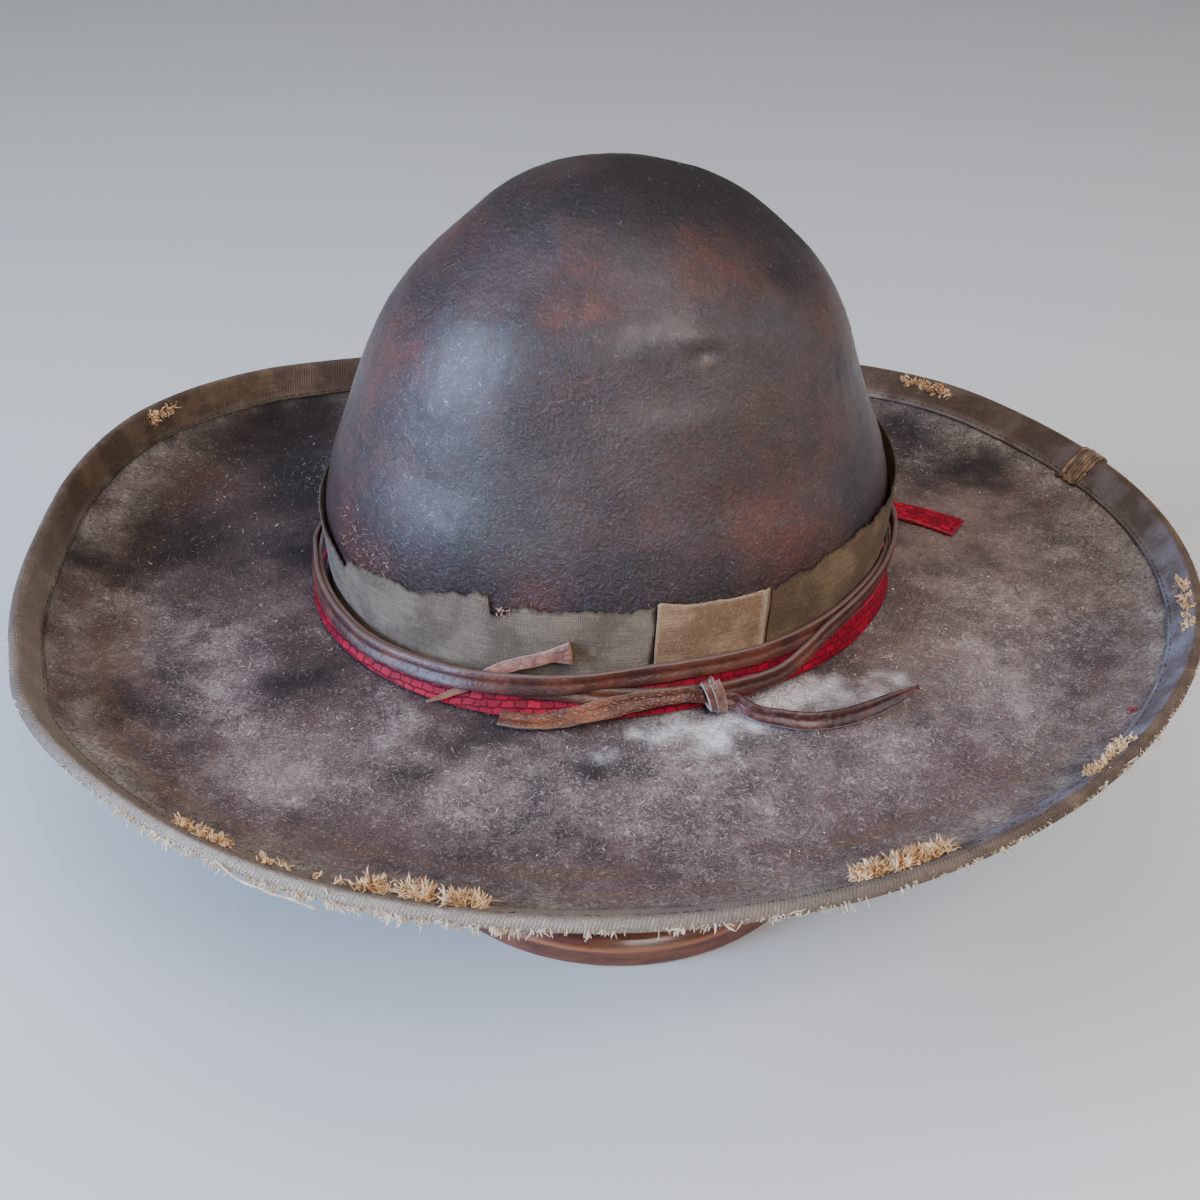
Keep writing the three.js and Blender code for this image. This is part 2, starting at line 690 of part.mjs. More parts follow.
function knotGeometry() {
  const geometry = new THREE.SphereGeometry(0.5, 12, 8);
  geometry.scale(knotSize.along, knotSize.out, knotSize.high);
  return geometry;
}

// Stand
const baseHeight = baseEdge + baseCove + baseCrown;

function turnedSolid(profile) {
  const geometry = new THREE.LatheGeometry(
    profile.map(([radius, height]) => new THREE.Vector2(radius, height)),
    turned,
  );
  geometry.rotateX(Math.PI / 2);
  return geometry;
}

function baseGeometry() {
  const cove = [];
  const coveSteps = 4;
  for (let i = 1; i <= coveSteps; i++) {
    const bend = (i / coveSteps) * (Math.PI / 2);
    cove.push([
      baseRadius - baseInset * (1 - Math.cos(bend)) - baseEdge / 8,
      baseEdge + baseCove * Math.sin(bend),
    ]);
  }
  return turnedSolid([
    [0, 0],
    [baseRadius - baseEdge / 8, 0],
    [baseRadius, baseEdge / 8],
    [baseRadius, baseEdge],
    ...cove,
    [collarRadius, baseHeight],
    [0, baseHeight],
  ]);
}

function postGeometry() {
  const foot = baseHeight + seam;
  const head = standHeight - domeRadius - domeSkirt - seam;
  const tall = head - foot;
  return turnedSolid([
    [0, foot],
    [collarRadius, foot],
    [collarRadius, foot + collarHeight * 0.3],
    [postRadius, foot + collarHeight],
    [postWaist, foot + tall * 0.5],
    [postRadius, head - collarHeight],
    [collarRadius, head - collarHeight * 0.3],
    [collarRadius, head],
    [0, head],
  ]);
}

function domeGeometry() {
  const skirt = standHeight - domeRadius - domeSkirt;
  const arc = [];
  const arcSteps = 9;
  for (let i = 0; i < arcSteps; i++) {
    const rise = (i / arcSteps) * (Math.PI / 2);
    arc.push([domeRadius * Math.cos(rise), skirt + domeSkirt + domeRadius * Math.sin(rise)]);
  }
  return turnedSolid([[0, skirt], [domeRadius, skirt], ...arc, [0, standHeight]]);
}

// Materials and the assembled hat
function piece(name, geometry, colour, roughness, metalness = 0) {
  const material = new THREE.MeshStandardMaterial({ color: colour, roughness, metalness });
  const mesh = new THREE.Mesh(geometry, material);
  mesh.name = name;
  return mesh;
}

const wood = 0x5a2d1c;
const leather = 0x6a3424;

const hat = new THREE.Group();
hat.position.set(hatAside.x, hatAside.y, standHeight + seatGap + feltThickness - crownHeight);
hat.add(piece("hat_felt", feltGeometry(), 0x3d3131, 0.7));
hat.add(piece("brim_binding", bindingGeometry(), 0x6e6259, 0.9));
hat.add(piece("thread_wrap", threadGeometry(), 0x6b4a2e, 0.8));
for (const length of ribbonPieces) {
  hat.add(piece(length.name, ribbonGeometry(length), length.colour, 0.9));
}
hat.add(piece("red_band", strapGeometry(), 0xb01030, 0.55));
hat.add(piece("red_band_tail", tailGeometry(redTail, strapHeight, strapThickness), 0xb01030, 0.55));
hat.add(piece("lace_upper_turn", upperTurnGeometry(), leather, 0.6));
hat.add(piece("lace_second_turn", secondTurnGeometry(), leather, 0.6));
hat.add(piece("lace_tail_left", tailGeometry(leftTail, laceWidth, laceThickness), leather, 0.6));
hat.add(piece("lace_tail_right", tailGeometry(rightTail, laceWidth, laceThickness), leather, 0.6));
hat.add(piece("leather_slip", slipGeometry(), 0x8f5f4e, 0.7));
const knot = piece("lace_knot", knotGeometry(), leather, 0.6);
knot.position.copy(polar(knotAround, footRadius(knotAround) + knotOut, knotHeight));
knot.rotation.z = degrees(knotAround + 90);
hat.add(knot);

const stand = new THREE.Group();
stand.add(piece("stand_base", baseGeometry(), wood, 0.35));
stand.add(piece("stand_post", postGeometry(), wood, 0.35));
stand.add(piece("stand_dome", domeGeometry(), wood, 0.35));

const model = new THREE.Group();
model.add(stand, hat);

export default model;
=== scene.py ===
# %% [markdown]
# # A worn felt hat on a turned stand
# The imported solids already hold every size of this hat. This notebook lays a fine surface over each of
# them, gives it felt, cloth, leather or wood, and sets the hat down on a pale floor under soft light.
# Each piece takes its place and size from its solid, and wear is placed in millimetres from the crown.

# %% Load the solids
import math

import bmesh
import bpy
import numpy as np
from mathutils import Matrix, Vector, noise
from mathutils.bvhtree import BVHTree


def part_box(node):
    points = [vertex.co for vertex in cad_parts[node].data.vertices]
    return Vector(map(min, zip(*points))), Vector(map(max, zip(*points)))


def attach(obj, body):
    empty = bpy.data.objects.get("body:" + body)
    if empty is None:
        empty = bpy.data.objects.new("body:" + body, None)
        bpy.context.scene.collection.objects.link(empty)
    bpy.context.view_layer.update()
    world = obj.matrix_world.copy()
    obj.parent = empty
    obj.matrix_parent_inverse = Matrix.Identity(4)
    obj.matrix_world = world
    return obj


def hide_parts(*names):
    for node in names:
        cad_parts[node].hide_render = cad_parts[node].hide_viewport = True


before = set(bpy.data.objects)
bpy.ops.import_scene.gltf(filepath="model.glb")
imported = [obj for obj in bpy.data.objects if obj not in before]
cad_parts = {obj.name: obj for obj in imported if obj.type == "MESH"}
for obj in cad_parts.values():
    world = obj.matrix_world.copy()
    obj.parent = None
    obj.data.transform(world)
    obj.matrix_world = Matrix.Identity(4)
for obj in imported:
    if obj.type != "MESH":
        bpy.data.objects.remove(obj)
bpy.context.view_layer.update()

MM = 0.001

# %% [markdown]
# ## Smooth curves
# The solids are made of flat facets. Each fine piece runs a smooth curve through the same corners, the
# way a bent spline runs through the pins on a drawing board, so it keeps the size and loses the facets.

# %% Curves through rows of points
def curve(points, knots, at, paired=False):
    """Points on a smooth curve through rows of points that lie at rising knots.

    With paired, each place that is asked for has its own column of points.
    """
    points, knots, at = (np.asarray(a, float) for a in (points, knots, at))
    wide = (slice(None),) + (None,) * (points.ndim - 1)
    step = np.diff(knots)[wide]
    slope = np.diff(points, axis=0) / step
    middle = (step[:-1] * slope[1:] + step[1:] * slope[:-1]) / (step[:-1] + step[1:])
    bend = np.concatenate([slope[:1], middle, slope[-1:]])
    i = np.clip(np.searchsorted(knots, at, side="right") - 1, 0, len(knots) - 2)
    low, high = (i, i + 1) if not paired else ((i, np.arange(len(at))), (i + 1, np.arange(len(at))))
    a, b = points[low], points[high]
    shape = (len(at),) + (1,) * (a.ndim - 1)
    h = np.diff(knots)[i].reshape(shape)
    t = (at - knots[i]).reshape(shape) / h
    return (
        (2 * t**3 - 3 * t**2 + 1) * a
        + (t**3 - 2 * t**2 + t) * h * bend[low]
        + (3 * t**2 - 2 * t**3) * b
        + (t**3 - t**2) * h * bend[high]
    )

# %% Closed curves, directions and lengths
def loop(points, turns):
    """The same round a closed ring of evenly spaced rows, with places given in turns."""
    count = len(points)
    padded = np.concatenate([points[-3:], points, points[:4]])
    return curve(padded, np.arange(-3, count + 4) / count, np.mod(turns, 1.0))


def unit(vectors):
    """The same directions, each one long."""
    return vectors / np.maximum(np.linalg.norm(vectors, axis=-1, keepdims=True), 1e-12)


def lengths_along(points):
    """How far along a row of points each of them lies."""
    return np.concatenate([[0], np.cumsum(np.linalg.norm(np.diff(points, axis=0), axis=-1))])


print("halfway along a straight run of one metre:", float(curve([0, 1], [0, 1], [0.5])[0]))

# %% [markdown]
# ## Measuring the felt
# A real hat body is one cone of felt, steamed and pulled over a block until crown and brim are one
# skin. The solid is built the same way, as rings from the crown's top to the rim and back underneath.
# Walking outwards from the top corner, one step at a time, gives those rings back in order.

# %% A solid's corners
def corners(node):
    """A solid's corners, each once, and for each corner the corners beside it."""
    mesh = bmesh.new()
    mesh.from_mesh(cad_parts[node].data)
    bmesh.ops.remove_doubles(mesh, verts=mesh.verts, dist=2e-6)
    mesh.verts.index_update()
    points = np.array([v.co[:] for v in mesh.verts])
    beside = [[e.other_vert(v).index for e in v.link_edges] for v in mesh.verts]
    mesh.free()
    return points, beside

# %% Rings from the crown's top
felt_corners, beside = corners("hat_felt")
levels = [[int(felt_corners[:, 2].argmax())]]
seen = set(levels[0])
while True:
    following = {b for a in levels[-1] for b in beside[a]} - seen
    if not following:
        break
    seen |= following
    levels.append(sorted(following))
columns = len(levels[1])


def ring_in_order(level):
    """A ring's corners in order round it, the first on the hat's right."""
    points = felt_corners[level]
    middle = points.mean(0)
    turn = np.arctan2(points[:, 1] - middle[1], points[:, 0] - middle[0]) / (2 * np.pi)
    return points[np.argsort(np.mod(turn + 0.5 / columns, 1))]


rings = [ring_in_order(level) for level in levels[1:-1]]
half = len(rings) // 2
pole = np.repeat(felt_corners[levels[0]], columns, axis=0)
inner_pole = np.repeat(felt_corners[levels[-1]], columns, axis=0)
face_rings = np.array([pole] + rings[:half])
under_rings = np.array(rings[half:] + [inner_pole])
print("felt rings:", half, "of", columns, "corners")

# %% [markdown]
# ## The crown as a surface to dress
# Ribbon, band and lace are all pulled tight round the crown, so each needs the crown's surface at a
# given angle and height, and the way straight out of it. Angles run round the crown's own oval.

# %% Points on the crown
CROWN_WALL = slice(3, 15)  # the rings down the crown's side, counted from its top
FOOT_RING = 17  # the ring at the crown's foot
crown_rings = face_rings[CROWN_WALL][::-1]
foot_z = float(face_rings[FOOT_RING, :, 2].mean())
ring_heights = crown_rings[:, :, 2].mean(1) - foot_z
oval_middle = crown_rings[0].mean(0)
oval_half = (crown_rings[0].max(0) - crown_rings[0].min(0)) / 2


def crown(degrees, height):
    """Points on the crown's outside, and the directions straight out of it."""
    degrees, height = np.broadcast_arrays(np.asarray(degrees, float), np.asarray(height, float))
    shape = degrees.shape

    def place(turn_degrees, up):
        flat = turn_degrees.ravel() / 360
        columns_there = np.stack([loop(ring, flat) for ring in crown_rings])
        return curve(columns_there, ring_heights, up.ravel(), paired=True)

    here = place(degrees, height)
    round_way = place(degrees + 1, height) - here
    up_way = place(degrees, height + MM) - here
    out = unit(np.cross(round_way, up_way))
    return here.reshape(shape + (3,)), out.reshape(shape + (3,))


def oval_turn(points):
    """Turns round the crown's oval of points near it."""
    side = (points - oval_middle)[..., :2] / oval_half[:2]
    return np.mod(np.arctan2(side[..., 1], side[..., 0]) / (2 * np.pi), 1)


print("crown's foot at z", round(foot_z, 4), "half sizes", oval_half[:2].round(4))

# %% [markdown]
# ## Making meshes
# Nearly every piece of a hat is a sheet or a strip. A strip is swept: one cross-section is copied
# along its route and the copies are joined. Its texture coordinates are metres along and across it, so
# ribs and scales keep their real size on every piece. Each piece is closed at its ends, and turned
# right way out where its volume comes out negative.

# %% Meshes from grids of points
def signed_volume(points, faces, caps):
    """Positive where the faces look outwards."""
    fans = [np.asarray(faces)[:, [0, k, k + 1]] for k in range(1, np.shape(faces)[1] - 1)]
    if len(caps):
        fans.append(np.array([(c[0], c[k], c[k + 1]) for c in caps for k in range(1, len(c) - 1)]))
    a, b, c = (points[np.concatenate(fans)[:, k]] for k in range(3))
    return (a * np.cross(b, c)).sum() / 6


def add_piece(name, points, faces, material, nodes=(), uv=None, masks=None, caps=()):
    """A piece that rides on the stand. Nodes are the solids that it replaces, and masks are painted on it."""
    mesh = bpy.data.meshes.new(name)
    mesh.from_pydata(points.tolist(), [], [*faces.tolist(), *caps])
    if uv is not None:
        spare = np.zeros((sum(len(c) for c in caps), 2))
        layer = mesh.uv_layers.new(name="metres")
        layer.data.foreach_set("uv", np.concatenate([uv.reshape(-1, 2), spare]).ravel())
    for painted, values in (masks or {}).items():
        layer = mesh.attributes.new(painted, "FLOAT", "POINT")
        layer.data.foreach_set("value", np.asarray(values, float).ravel())
    mesh.polygons.foreach_set("use_smooth", [True] * len(mesh.polygons))
    mesh.materials.append(material)
    if signed_volume(points, faces, caps) < 0:
        mesh.flip_normals()
    mesh.update()
    piece = bpy.data.objects.new(name.replace(" ", "_"), mesh)
    bpy.context.scene.collection.objects.link(piece)
    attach(piece, "root")
    if nodes:
        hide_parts(*nodes)
    print(name, "faces:", len(mesh.polygons))
    return piece

# %% Sweeps along a route
def sweep(name, sections, material, closed=False, nodes=(), masks=None):
    """A strip from its cross-sections, each a closed ring of points."""
    sections = np.asarray(sections)
    count, ring = sections.shape[:2]
    i, j = np.meshgrid(np.arange(count if closed else count - 1), np.arange(ring), indexing="ij")
    quads = [(i, j), (i, j + 1), (i + 1, j + 1), (i + 1, j)]
    faces = np.stack([(a % count) * ring + b % ring for a, b in quads], -1).reshape(-1, 4)
    around = np.concatenate([sections, sections[:, :1]], 1)
    around = np.concatenate([around, around[:1]], 0)
    u = lengths_along(around[:, 0])
    steps_across = np.linalg.norm(np.diff(around, axis=1), axis=-1)
    v = np.concatenate([np.zeros((count + 1, 1)), np.cumsum(steps_across, 1)], 1)
    uv = np.stack([np.stack([u[a], v[a, b]], -1) for a, b in quads], -2)
    last = (count - 1) * ring
    caps = [] if closed else [list(range(ring))[::-1], list(range(last, last + ring))]
    return add_piece(name, sections.reshape(-1, 3), faces, material, nodes, uv, masks, caps)

# %% Soft lumps
def lumps(points, size, shift=0.0):
    """Soft bumps between about -1 and 1, size metres across."""
    flat = np.asarray(points).reshape(-1, 3) / size + shift
    return np.array([noise.noise(Vector(p)) for p in flat]).reshape(np.shape(points)[:-1])

# %% [markdown]
# ## Shader helpers
# The same few node moves come back in every material, so they get short names: add a node, stretch a
# range of values, multiply two masks, and lay one colour over another where a mask says so. A material
# then reads as a list of layers, from the bare stuff up to the dust on it.

# %% Node helpers
def feed(tree, value, socket):
    """Link another node's output to a socket, or set a plain value on it."""
    if isinstance(value, bpy.types.NodeSocket):
        tree.links.new(value, socket)
    else:
        socket.default_value = value


def add(tree, kind, inputs=None, **settings):
    """A new node with its settings made and its inputs fed."""
    made = tree.nodes.new("ShaderNode" + kind)
    for key, value in settings.items():
        setattr(made, key, value)
    for key, value in (inputs or {}).items():
        feed(tree, value, made.inputs[key])
    return made


def spread(tree, value, low, high, to_low=0.0, to_high=1.0):
    """Values from low to high, stretched to run from to_low to to_high."""
    wanted = {"Value": value, "From Min": low, "From Max": high, "To Min": to_low, "To Max": to_high}
    return add(tree, "MapRange", wanted).outputs["Result"]


def between(tree, cover, at_none, at_full):
    """A value that follows a mask."""
    return spread(tree, cover, 0.0, 1.0, at_none, at_full)


def mask(tree, name):
    """A mask that was painted on the mesh under this name."""
    return add(tree, "Attribute", attribute_name=name).outputs["Fac"]

# %% Node helpers: sums
def maths(tree, operation, a, b=0.0):
    return add(tree, "Math", {0: a, 1: b}, operation=operation).outputs[0]


def times(tree, a, b):
    return maths(tree, "MULTIPLY", a, b)


def plus(tree, a, b):
    return maths(tree, "ADD", a, b)


def minus(tree, a, b):
    return maths(tree, "SUBTRACT", a, b)

# %% Node helpers: colours
COLOUR_A, COLOUR_B, MIXED_COLOUR = 6, 7, 2  # where a Mix node keeps its colours


def mix(tree, factor, a, b):
    """Two colours mixed, each of them three numbers or a socket."""
    made = add(tree, "Mix", {0: factor}, data_type="RGBA")
    for index, value in ((COLOUR_A, a), (COLOUR_B, b)):
        feed(tree, (*value, 1) if isinstance(value, tuple) else value, made.inputs[index])
    return made.outputs[MIXED_COLOUR]


def layered(tree, colour, *layers):
    """A colour with others laid over it in turn, each given as a mask and a colour."""
    for cover, tone in layers:
        colour = mix(tree, cover, colour, tone)
    return colour


def tinted(colour, share):
    """A darker or lighter shade of the same colour."""
    return tuple(min(1, c * share) for c in colour)

# %% Node helpers: groups and materials
def new_group(name, inputs, outputs):
    """An empty node group, with what it is given and what is wanted of it."""
    tree = bpy.data.node_groups.new(name, "ShaderNodeTree")
    for label, value in inputs.items():
        kind = "NodeSocketFloat" if isinstance(value, float) else "NodeSocketVector"
        socket = tree.interface.new_socket(label, in_out="INPUT", socket_type=kind)
        if isinstance(value, float):
            socket.default_value = value
    for label in outputs:
        tree.interface.new_socket(label, in_out="OUTPUT", socket_type="NodeSocketFloat")
    return tree, tree.nodes.new("NodeGroupInput").outputs, tree.nodes.new("NodeGroupOutput").inputs


def place_group(tree, group, **inputs):
    """A group placed in a material, with its own values."""
    made = tree.nodes.new("ShaderNodeGroup")
    made.node_tree = group
    for key, value in inputs.items():
        feed(tree, value, made.inputs[key.replace("_", " ")])
    return made.outputs


def new_material(name):
    material = bpy.data.materials.new(name)
    material.use_nodes = True
    tree = material.node_tree
    return material, tree, tree.nodes["Principled BSDF"], add(tree, "TexCoord").outputs


def bump(tree, shader, height, distance, strength=1.0):
    """Relief whose whole depth is distance metres."""
    made = add(tree, "Bump", {"Height": height, "Distance": distance, "Strength": strength})
    tree.links.new(made.outputs["Normal"], shader.inputs["Normal"])

# %% [markdown]
# ## Effects shared by several materials
# Matted fibres cover the felt, the tape and the ribbons, so they are one node group. So are the blotches
# of dust and wear, and the ribs of woven tape. Each could be built again in every material, but a group
# is built once, and each material places it with its own numbers.

# %% Matted fibres
# A hair is where a smooth noise passes through its middle value, and a second noise breaks it into lengths.
fibres, given, wanted = new_group("matted fibres", {"Where": (0, 0, 0), "Per metre": 700.0},
                                  ["Height", "Light hairs"])
sway = add(fibres, "TexNoise", {"Vector": given["Where"], "Scale": 210.0, "Detail": 1.0})
SWAY = (0.005, 0.005, 0.005)  # metres that a hair wanders to each side
bent = add(fibres, "VectorMath", {0: sway.outputs["Color"], 1: SWAY, 2: given["Where"]},
           operation="MULTIPLY_ADD").outputs[0]
fields = add(fibres, "TexNoise", {"Vector": bent, "Scale": given["Per metre"], "Detail": 0.0})
breaks = add(fibres, "TexNoise",
             {"Vector": bent, "Scale": times(fibres, given["Per metre"], 1.2), "Detail": 0.0})
three = add(fibres, "SeparateColor", {"Color": fields.outputs["Color"]}).outputs
gaps = add(fibres, "SeparateColor", {"Color": breaks.outputs["Color"]}).outputs
hairs = 0.0
for k in range(3):
    from_middle = maths(fibres, "ABSOLUTE", minus(fibres, three[k], 0.5))
    line = times(fibres, spread(fibres, from_middle, 0.006, 0.05, 1.0, 0.0),
                 spread(fibres, gaps[k], 0.46, 0.56))
    hairs = maths(fibres, "MAXIMUM", line, hairs)
mat = add(fibres, "TexNoise", {"Vector": bent, "Scale": given["Per metre"], "Detail": 3.0, "Roughness": 0.6})
fibres.links.new(plus(fibres, times(fibres, hairs, 0.35), mat.outputs["Fac"]), wanted["Height"])
fibres.links.new(hairs, wanted["Light hairs"])
print("matted fibres:", len(fibres.nodes), "nodes")

# %% Blotches
blotches, given, wanted = new_group("blotches", {"Where": (0, 0, 0), "Per metre": 30.0, "Cover": 0.5},
                                    ["Mask"])
cloud = add(blotches, "TexNoise", {"Vector": given["Where"], "Scale": given["Per metre"], "Detail": 4.0,
                                   "Roughness": 0.6})
level = minus(blotches, 0.78, times(blotches, given["Cover"], 0.5))
rise = minus(blotches, cloud.outputs["Fac"], level)
blotches.links.new(spread(blotches, rise, -0.09, 0.09), wanted["Mask"])


def blotch(tree, place, per_metre, cover=0.5):
    """The blotches placed in a material, so many to the metre."""
    return place_group(tree, blotches, Where=place, Per_metre=per_metre, Cover=cover)["Mask"]


print("blotches:", len(blotches.nodes), "nodes")

# %% Ribs
ribs, given, wanted = new_group("ribs", {"Where": (0, 0, 0), "Per metre": 1200.0, "Slant": 0.0}, ["Height"])
parts = add(ribs, "SeparateXYZ", {"Vector": given["Where"]}).outputs
slanted = plus(ribs, parts["X"], times(ribs, parts["Y"], given["Slant"]))
phase = times(ribs, times(ribs, slanted, given["Per metre"]), 2 * math.pi)
ribs.links.new(spread(ribs, maths(ribs, "SINE", phase), -1.0, 1.0), wanted["Height"])
print("ribs:", len(ribs.nodes), "nodes")

# %% [markdown]
# ## Felt
# Wool felt has no weave: it is a mat of crossed hairs. Years of wax and handling have polished the
# crown until it shines like leather, with rust-brown patches, while the brim has stayed dry, furry
# and grey with dust. One material covers both. Soft masks, painted on the mesh round chosen places,
# tell it where the felt is polished, stained or dusty and where highlights and shadow are painted on
# it, and fine noise breaks up every edge.

# %% Felt material: the patterns in it
felt_material, tree, shader, where = new_material("waxed and dusty felt")
place = where["Object"]
hair = place_group(tree, fibres, Where=place, Per_metre=760.0)
crown_hair = place_group(tree, fibres, Where=place, Per_metre=1050.0)
broad, cloud = blotch(tree, place, 16.0), blotch(tree, place, 38.0)
patch, grain = blotch(tree, place, 120.0, 0.45), blotch(tree, place, 620.0)
crown_mask, dark, rust = mask(tree, "crown"), mask(tree, "dark"), mask(tree, "rust")
furry = spread(tree, hair["Height"], 0.4, 0.68, 0.3, 1.0)
pits = between(tree, grain, 0.3, 0.0)
print("patterns in the felt:", len(tree.nodes), "nodes")

# %% Felt material: dust and wear on the dry brim
dust = times(tree, mask(tree, "dust"), between(tree, cloud, 0.45, 1.0))
powder = times(tree, times(tree, dust, furry), between(tree, patch, 0.4, 1.0))
rim_dust = times(tree, times(tree, mask(tree, "edge"), furry), between(tree, patch, 0.65, 1.0))
chalk = times(tree, mask(tree, "chalk"), spread(tree, hair["Height"], 0.36, 0.56, 0.45, 1.0))
dry = layered(
    tree, mix(tree, cloud, (0.02, 0.0085, 0.0115), (0.08, 0.035, 0.037)),
    (times(tree, broad, 0.6), (0.125, 0.062, 0.054)),
    (times(tree, patch, 0.5), (0.14, 0.08, 0.068)),
    (times(tree, rust, 0.75), (0.08, 0.028, 0.018)),
    (times(tree, mask(tree, "tan"), between(tree, cloud, 0.35, 0.9)), (0.25, 0.157, 0.133)),
    (powder, (0.52, 0.42, 0.415)),
    (times(tree, mask(tree, "streak"), 0.85), (0.13, 0.068, 0.042)),
    (rim_dust, (0.5, 0.44, 0.39)),
    (pits, (0.025, 0.015, 0.015)),
    (times(tree, hair["Light hairs"], between(tree, dust, 0.2, 0.7)), (0.6, 0.53, 0.5)),
    (chalk, (0.8, 0.75, 0.73)),
)
print("with the dry brim:", len(tree.nodes), "nodes")

# %% Felt material: the waxed crown
rusty = maths(tree, "MAXIMUM", rust, times(tree, broad, 0.35))
waxed = layered(
    tree, mix(tree, cloud, (0.016, 0.007, 0.008), (0.055, 0.023, 0.022)),
    # grey: painted highlight on the crown's front and front left, greyer felt at its back
    (times(tree, mask(tree, "grey"), 0.45), (0.09, 0.07, 0.056)),
    (times(tree, rusty, between(tree, patch, 0.4, 1.0)), (0.125, 0.027, 0.014)),
    (pits, (0.012, 0.008, 0.009)),
    (times(tree, crown_hair["Light hairs"], 0.09), (0.4, 0.33, 0.31)),
)
# The dark mask is darker, duller felt, and painted shadow in the front dent and inside the brim's left back.
colour = layered(tree, dry, (crown_mask, waxed), (times(tree, dark, 0.85), (0.009, 0.005, 0.006)))
tree.links.new(colour, shader.inputs["Base Color"])
print("with the waxed crown:", len(tree.nodes), "nodes")

# %% [markdown]
# ### Shine and relief
# Wax fills the felt, so the crown is smoother than the brim, and its shine breaks over a fine grain.
# A thick clear coat would lie flat over that grain, because it has its own normal. So most of the
# shine comes from the base layer, which follows the relief, and only a thin coat lies over it.

# %% Felt material: shine and relief
shine = minus(tree, minus(tree, crown_mask, times(tree, patch, 0.1)), times(tree, dark, 0.4))
tree.links.new(between(tree, shine, 0.95, 0.3), shader.inputs["Roughness"])
tree.links.new(times(tree, crown_mask, between(tree, dark, 0.4, 0.03)), shader.inputs["Coat Weight"])
shader.inputs["Coat Roughness"].default_value = 0.38
shader.inputs["Specular IOR Level"].default_value = 0.5
peel = add(tree, "TexNoise",
           {"Vector": place, "Scale": 430.0, "Detail": 2.0, "Roughness": 0.5}).outputs["Fac"]
furry_height = times(tree, minus(tree, 1.0, crown_mask), hair["Height"])
waxed_height = plus(tree, times(tree, crown_hair["Height"], 0.34), times(tree, peel, 0.45))
relief = plus(tree, furry_height, times(tree, crown_mask, waxed_height))
bump(tree, shader, plus(tree, relief, times(tree, grain, 0.22)), 0.0011, 0.9)
print("felt material:", len(tree.nodes), "nodes")

# %% [markdown]
# ## The felt body
# The fine body follows the measured rings with a row about every two millimetres. Its upper face is
# then pushed in and out by soft lumps, large ones from handling and small ones from the felt itself,
# and by a few dents. Sculpting by hand would do as well, but moves in code come out the same each time.
# The underside only needs to be smooth, so it has far fewer rows.

# %% Finer rings
ROUND = 400
turns = np.arange(ROUND) / ROUND


def refine(rings_in, pitch):
    """Rows about a pitch apart, smooth both ways, through rings of corners."""
    wide = np.stack([loop(ring, turns) for ring in rings_in])
    knots = np.concatenate([[0], np.cumsum(np.linalg.norm(np.diff(wide, axis=0), axis=-1).mean(1))])
    at = [np.linspace(a, b, max(1, round((b - a) / pitch)), endpoint=False) for a, b in zip(knots, knots[1:])]
    return curve(wide, knots, np.concatenate([*at, knots[-1:]]))


def normals_of(grid):
    down = np.gradient(grid, axis=0)
    round_way = np.roll(grid, -1, 1) - np.roll(grid, 1, 1)
    return unit(np.cross(down, round_way))


face = refine(face_rings, 1.9 * MM)
face_normals = normals_of(face)
face_normals[0] = (0, 0, 1)
under = refine(under_rings, 7 * MM)
CROWN_ROWS = int(len(face) * 0.6)  # the rows from the top to a little past the crown's foot
drop = np.clip((face[..., 2] - foot_z) / (9 * MM), 0, 1)
on_crown = (np.arange(len(face)) < CROWN_ROWS)[:, None] * drop
inside_rim = np.linalg.norm(face[-1] - face, axis=-1)
print("felt rows:", len(face), "above and", len(under), "below, each of", ROUND, "points")

# %% Lumps and dents
CROWN_FOOT = np.array([-5.7, 0.6, 122.6])  # the middle of the crown's foot, in millimetres
# Each dent: the x, y and z of its middle from the crown's foot, its width, its height and its depth.
DENTS = [(31, -59, 117, 4.5, 2.2, -2.0), (33, -58, 121, 6, 2.4, 0.6), (22, -70, 105, 20, 7, -0.7),
         (38, -66, 111, 10, 4, 0.4), (30, -75, 87, 24, 6, -0.9), (24, -72, 96, 22, 5, 0.6),
         (0, -52, 135, 20, 8, -1.1), (-25, -62, 122, 16, 14, 0.8), (52, -62, 92, 14, 8, -0.8),
         (-55, -60, 70, 20, 18, -0.8), (40, 60, 100, 26, 14, -1.2), (-40, 60, 120, 20, 10, -1.0)]
big = lumps(face, 34 * MM) * 0.55 * MM
small = lumps(face, 11 * MM, 7.3) * 0.22 * MM
fine = lumps(face, 4.5 * MM, 3.1) * 0.15 * MM
# The lumps die away at the rim and under the ribbon, where other pieces lie close on the felt.
from_ribbon = np.abs(face[..., 2] - foot_z - 22 * MM)
fade = np.clip(inside_rim / (16 * MM), 0, 1) * np.clip(from_ribbon / (24 * MM), 0.25, 1)
dented = np.zeros(face.shape[:2])
for x, y, z, wide_mm, tall_mm, deep_mm in DENTS:
    away = (face / MM - CROWN_FOOT - (x, y, z)) / (wide_mm, wide_mm, tall_mm)
    dented += deep_mm * MM * np.exp(-(away**2).sum(-1))
moved = (big + small) * fade + fine * np.clip(fade, 0.4, 1) + dented
shown_face = face + face_normals * moved[..., None]
print("moved, in mm:", (moved.min() / MM).round(2), "to", (moved.max() / MM).round(2))
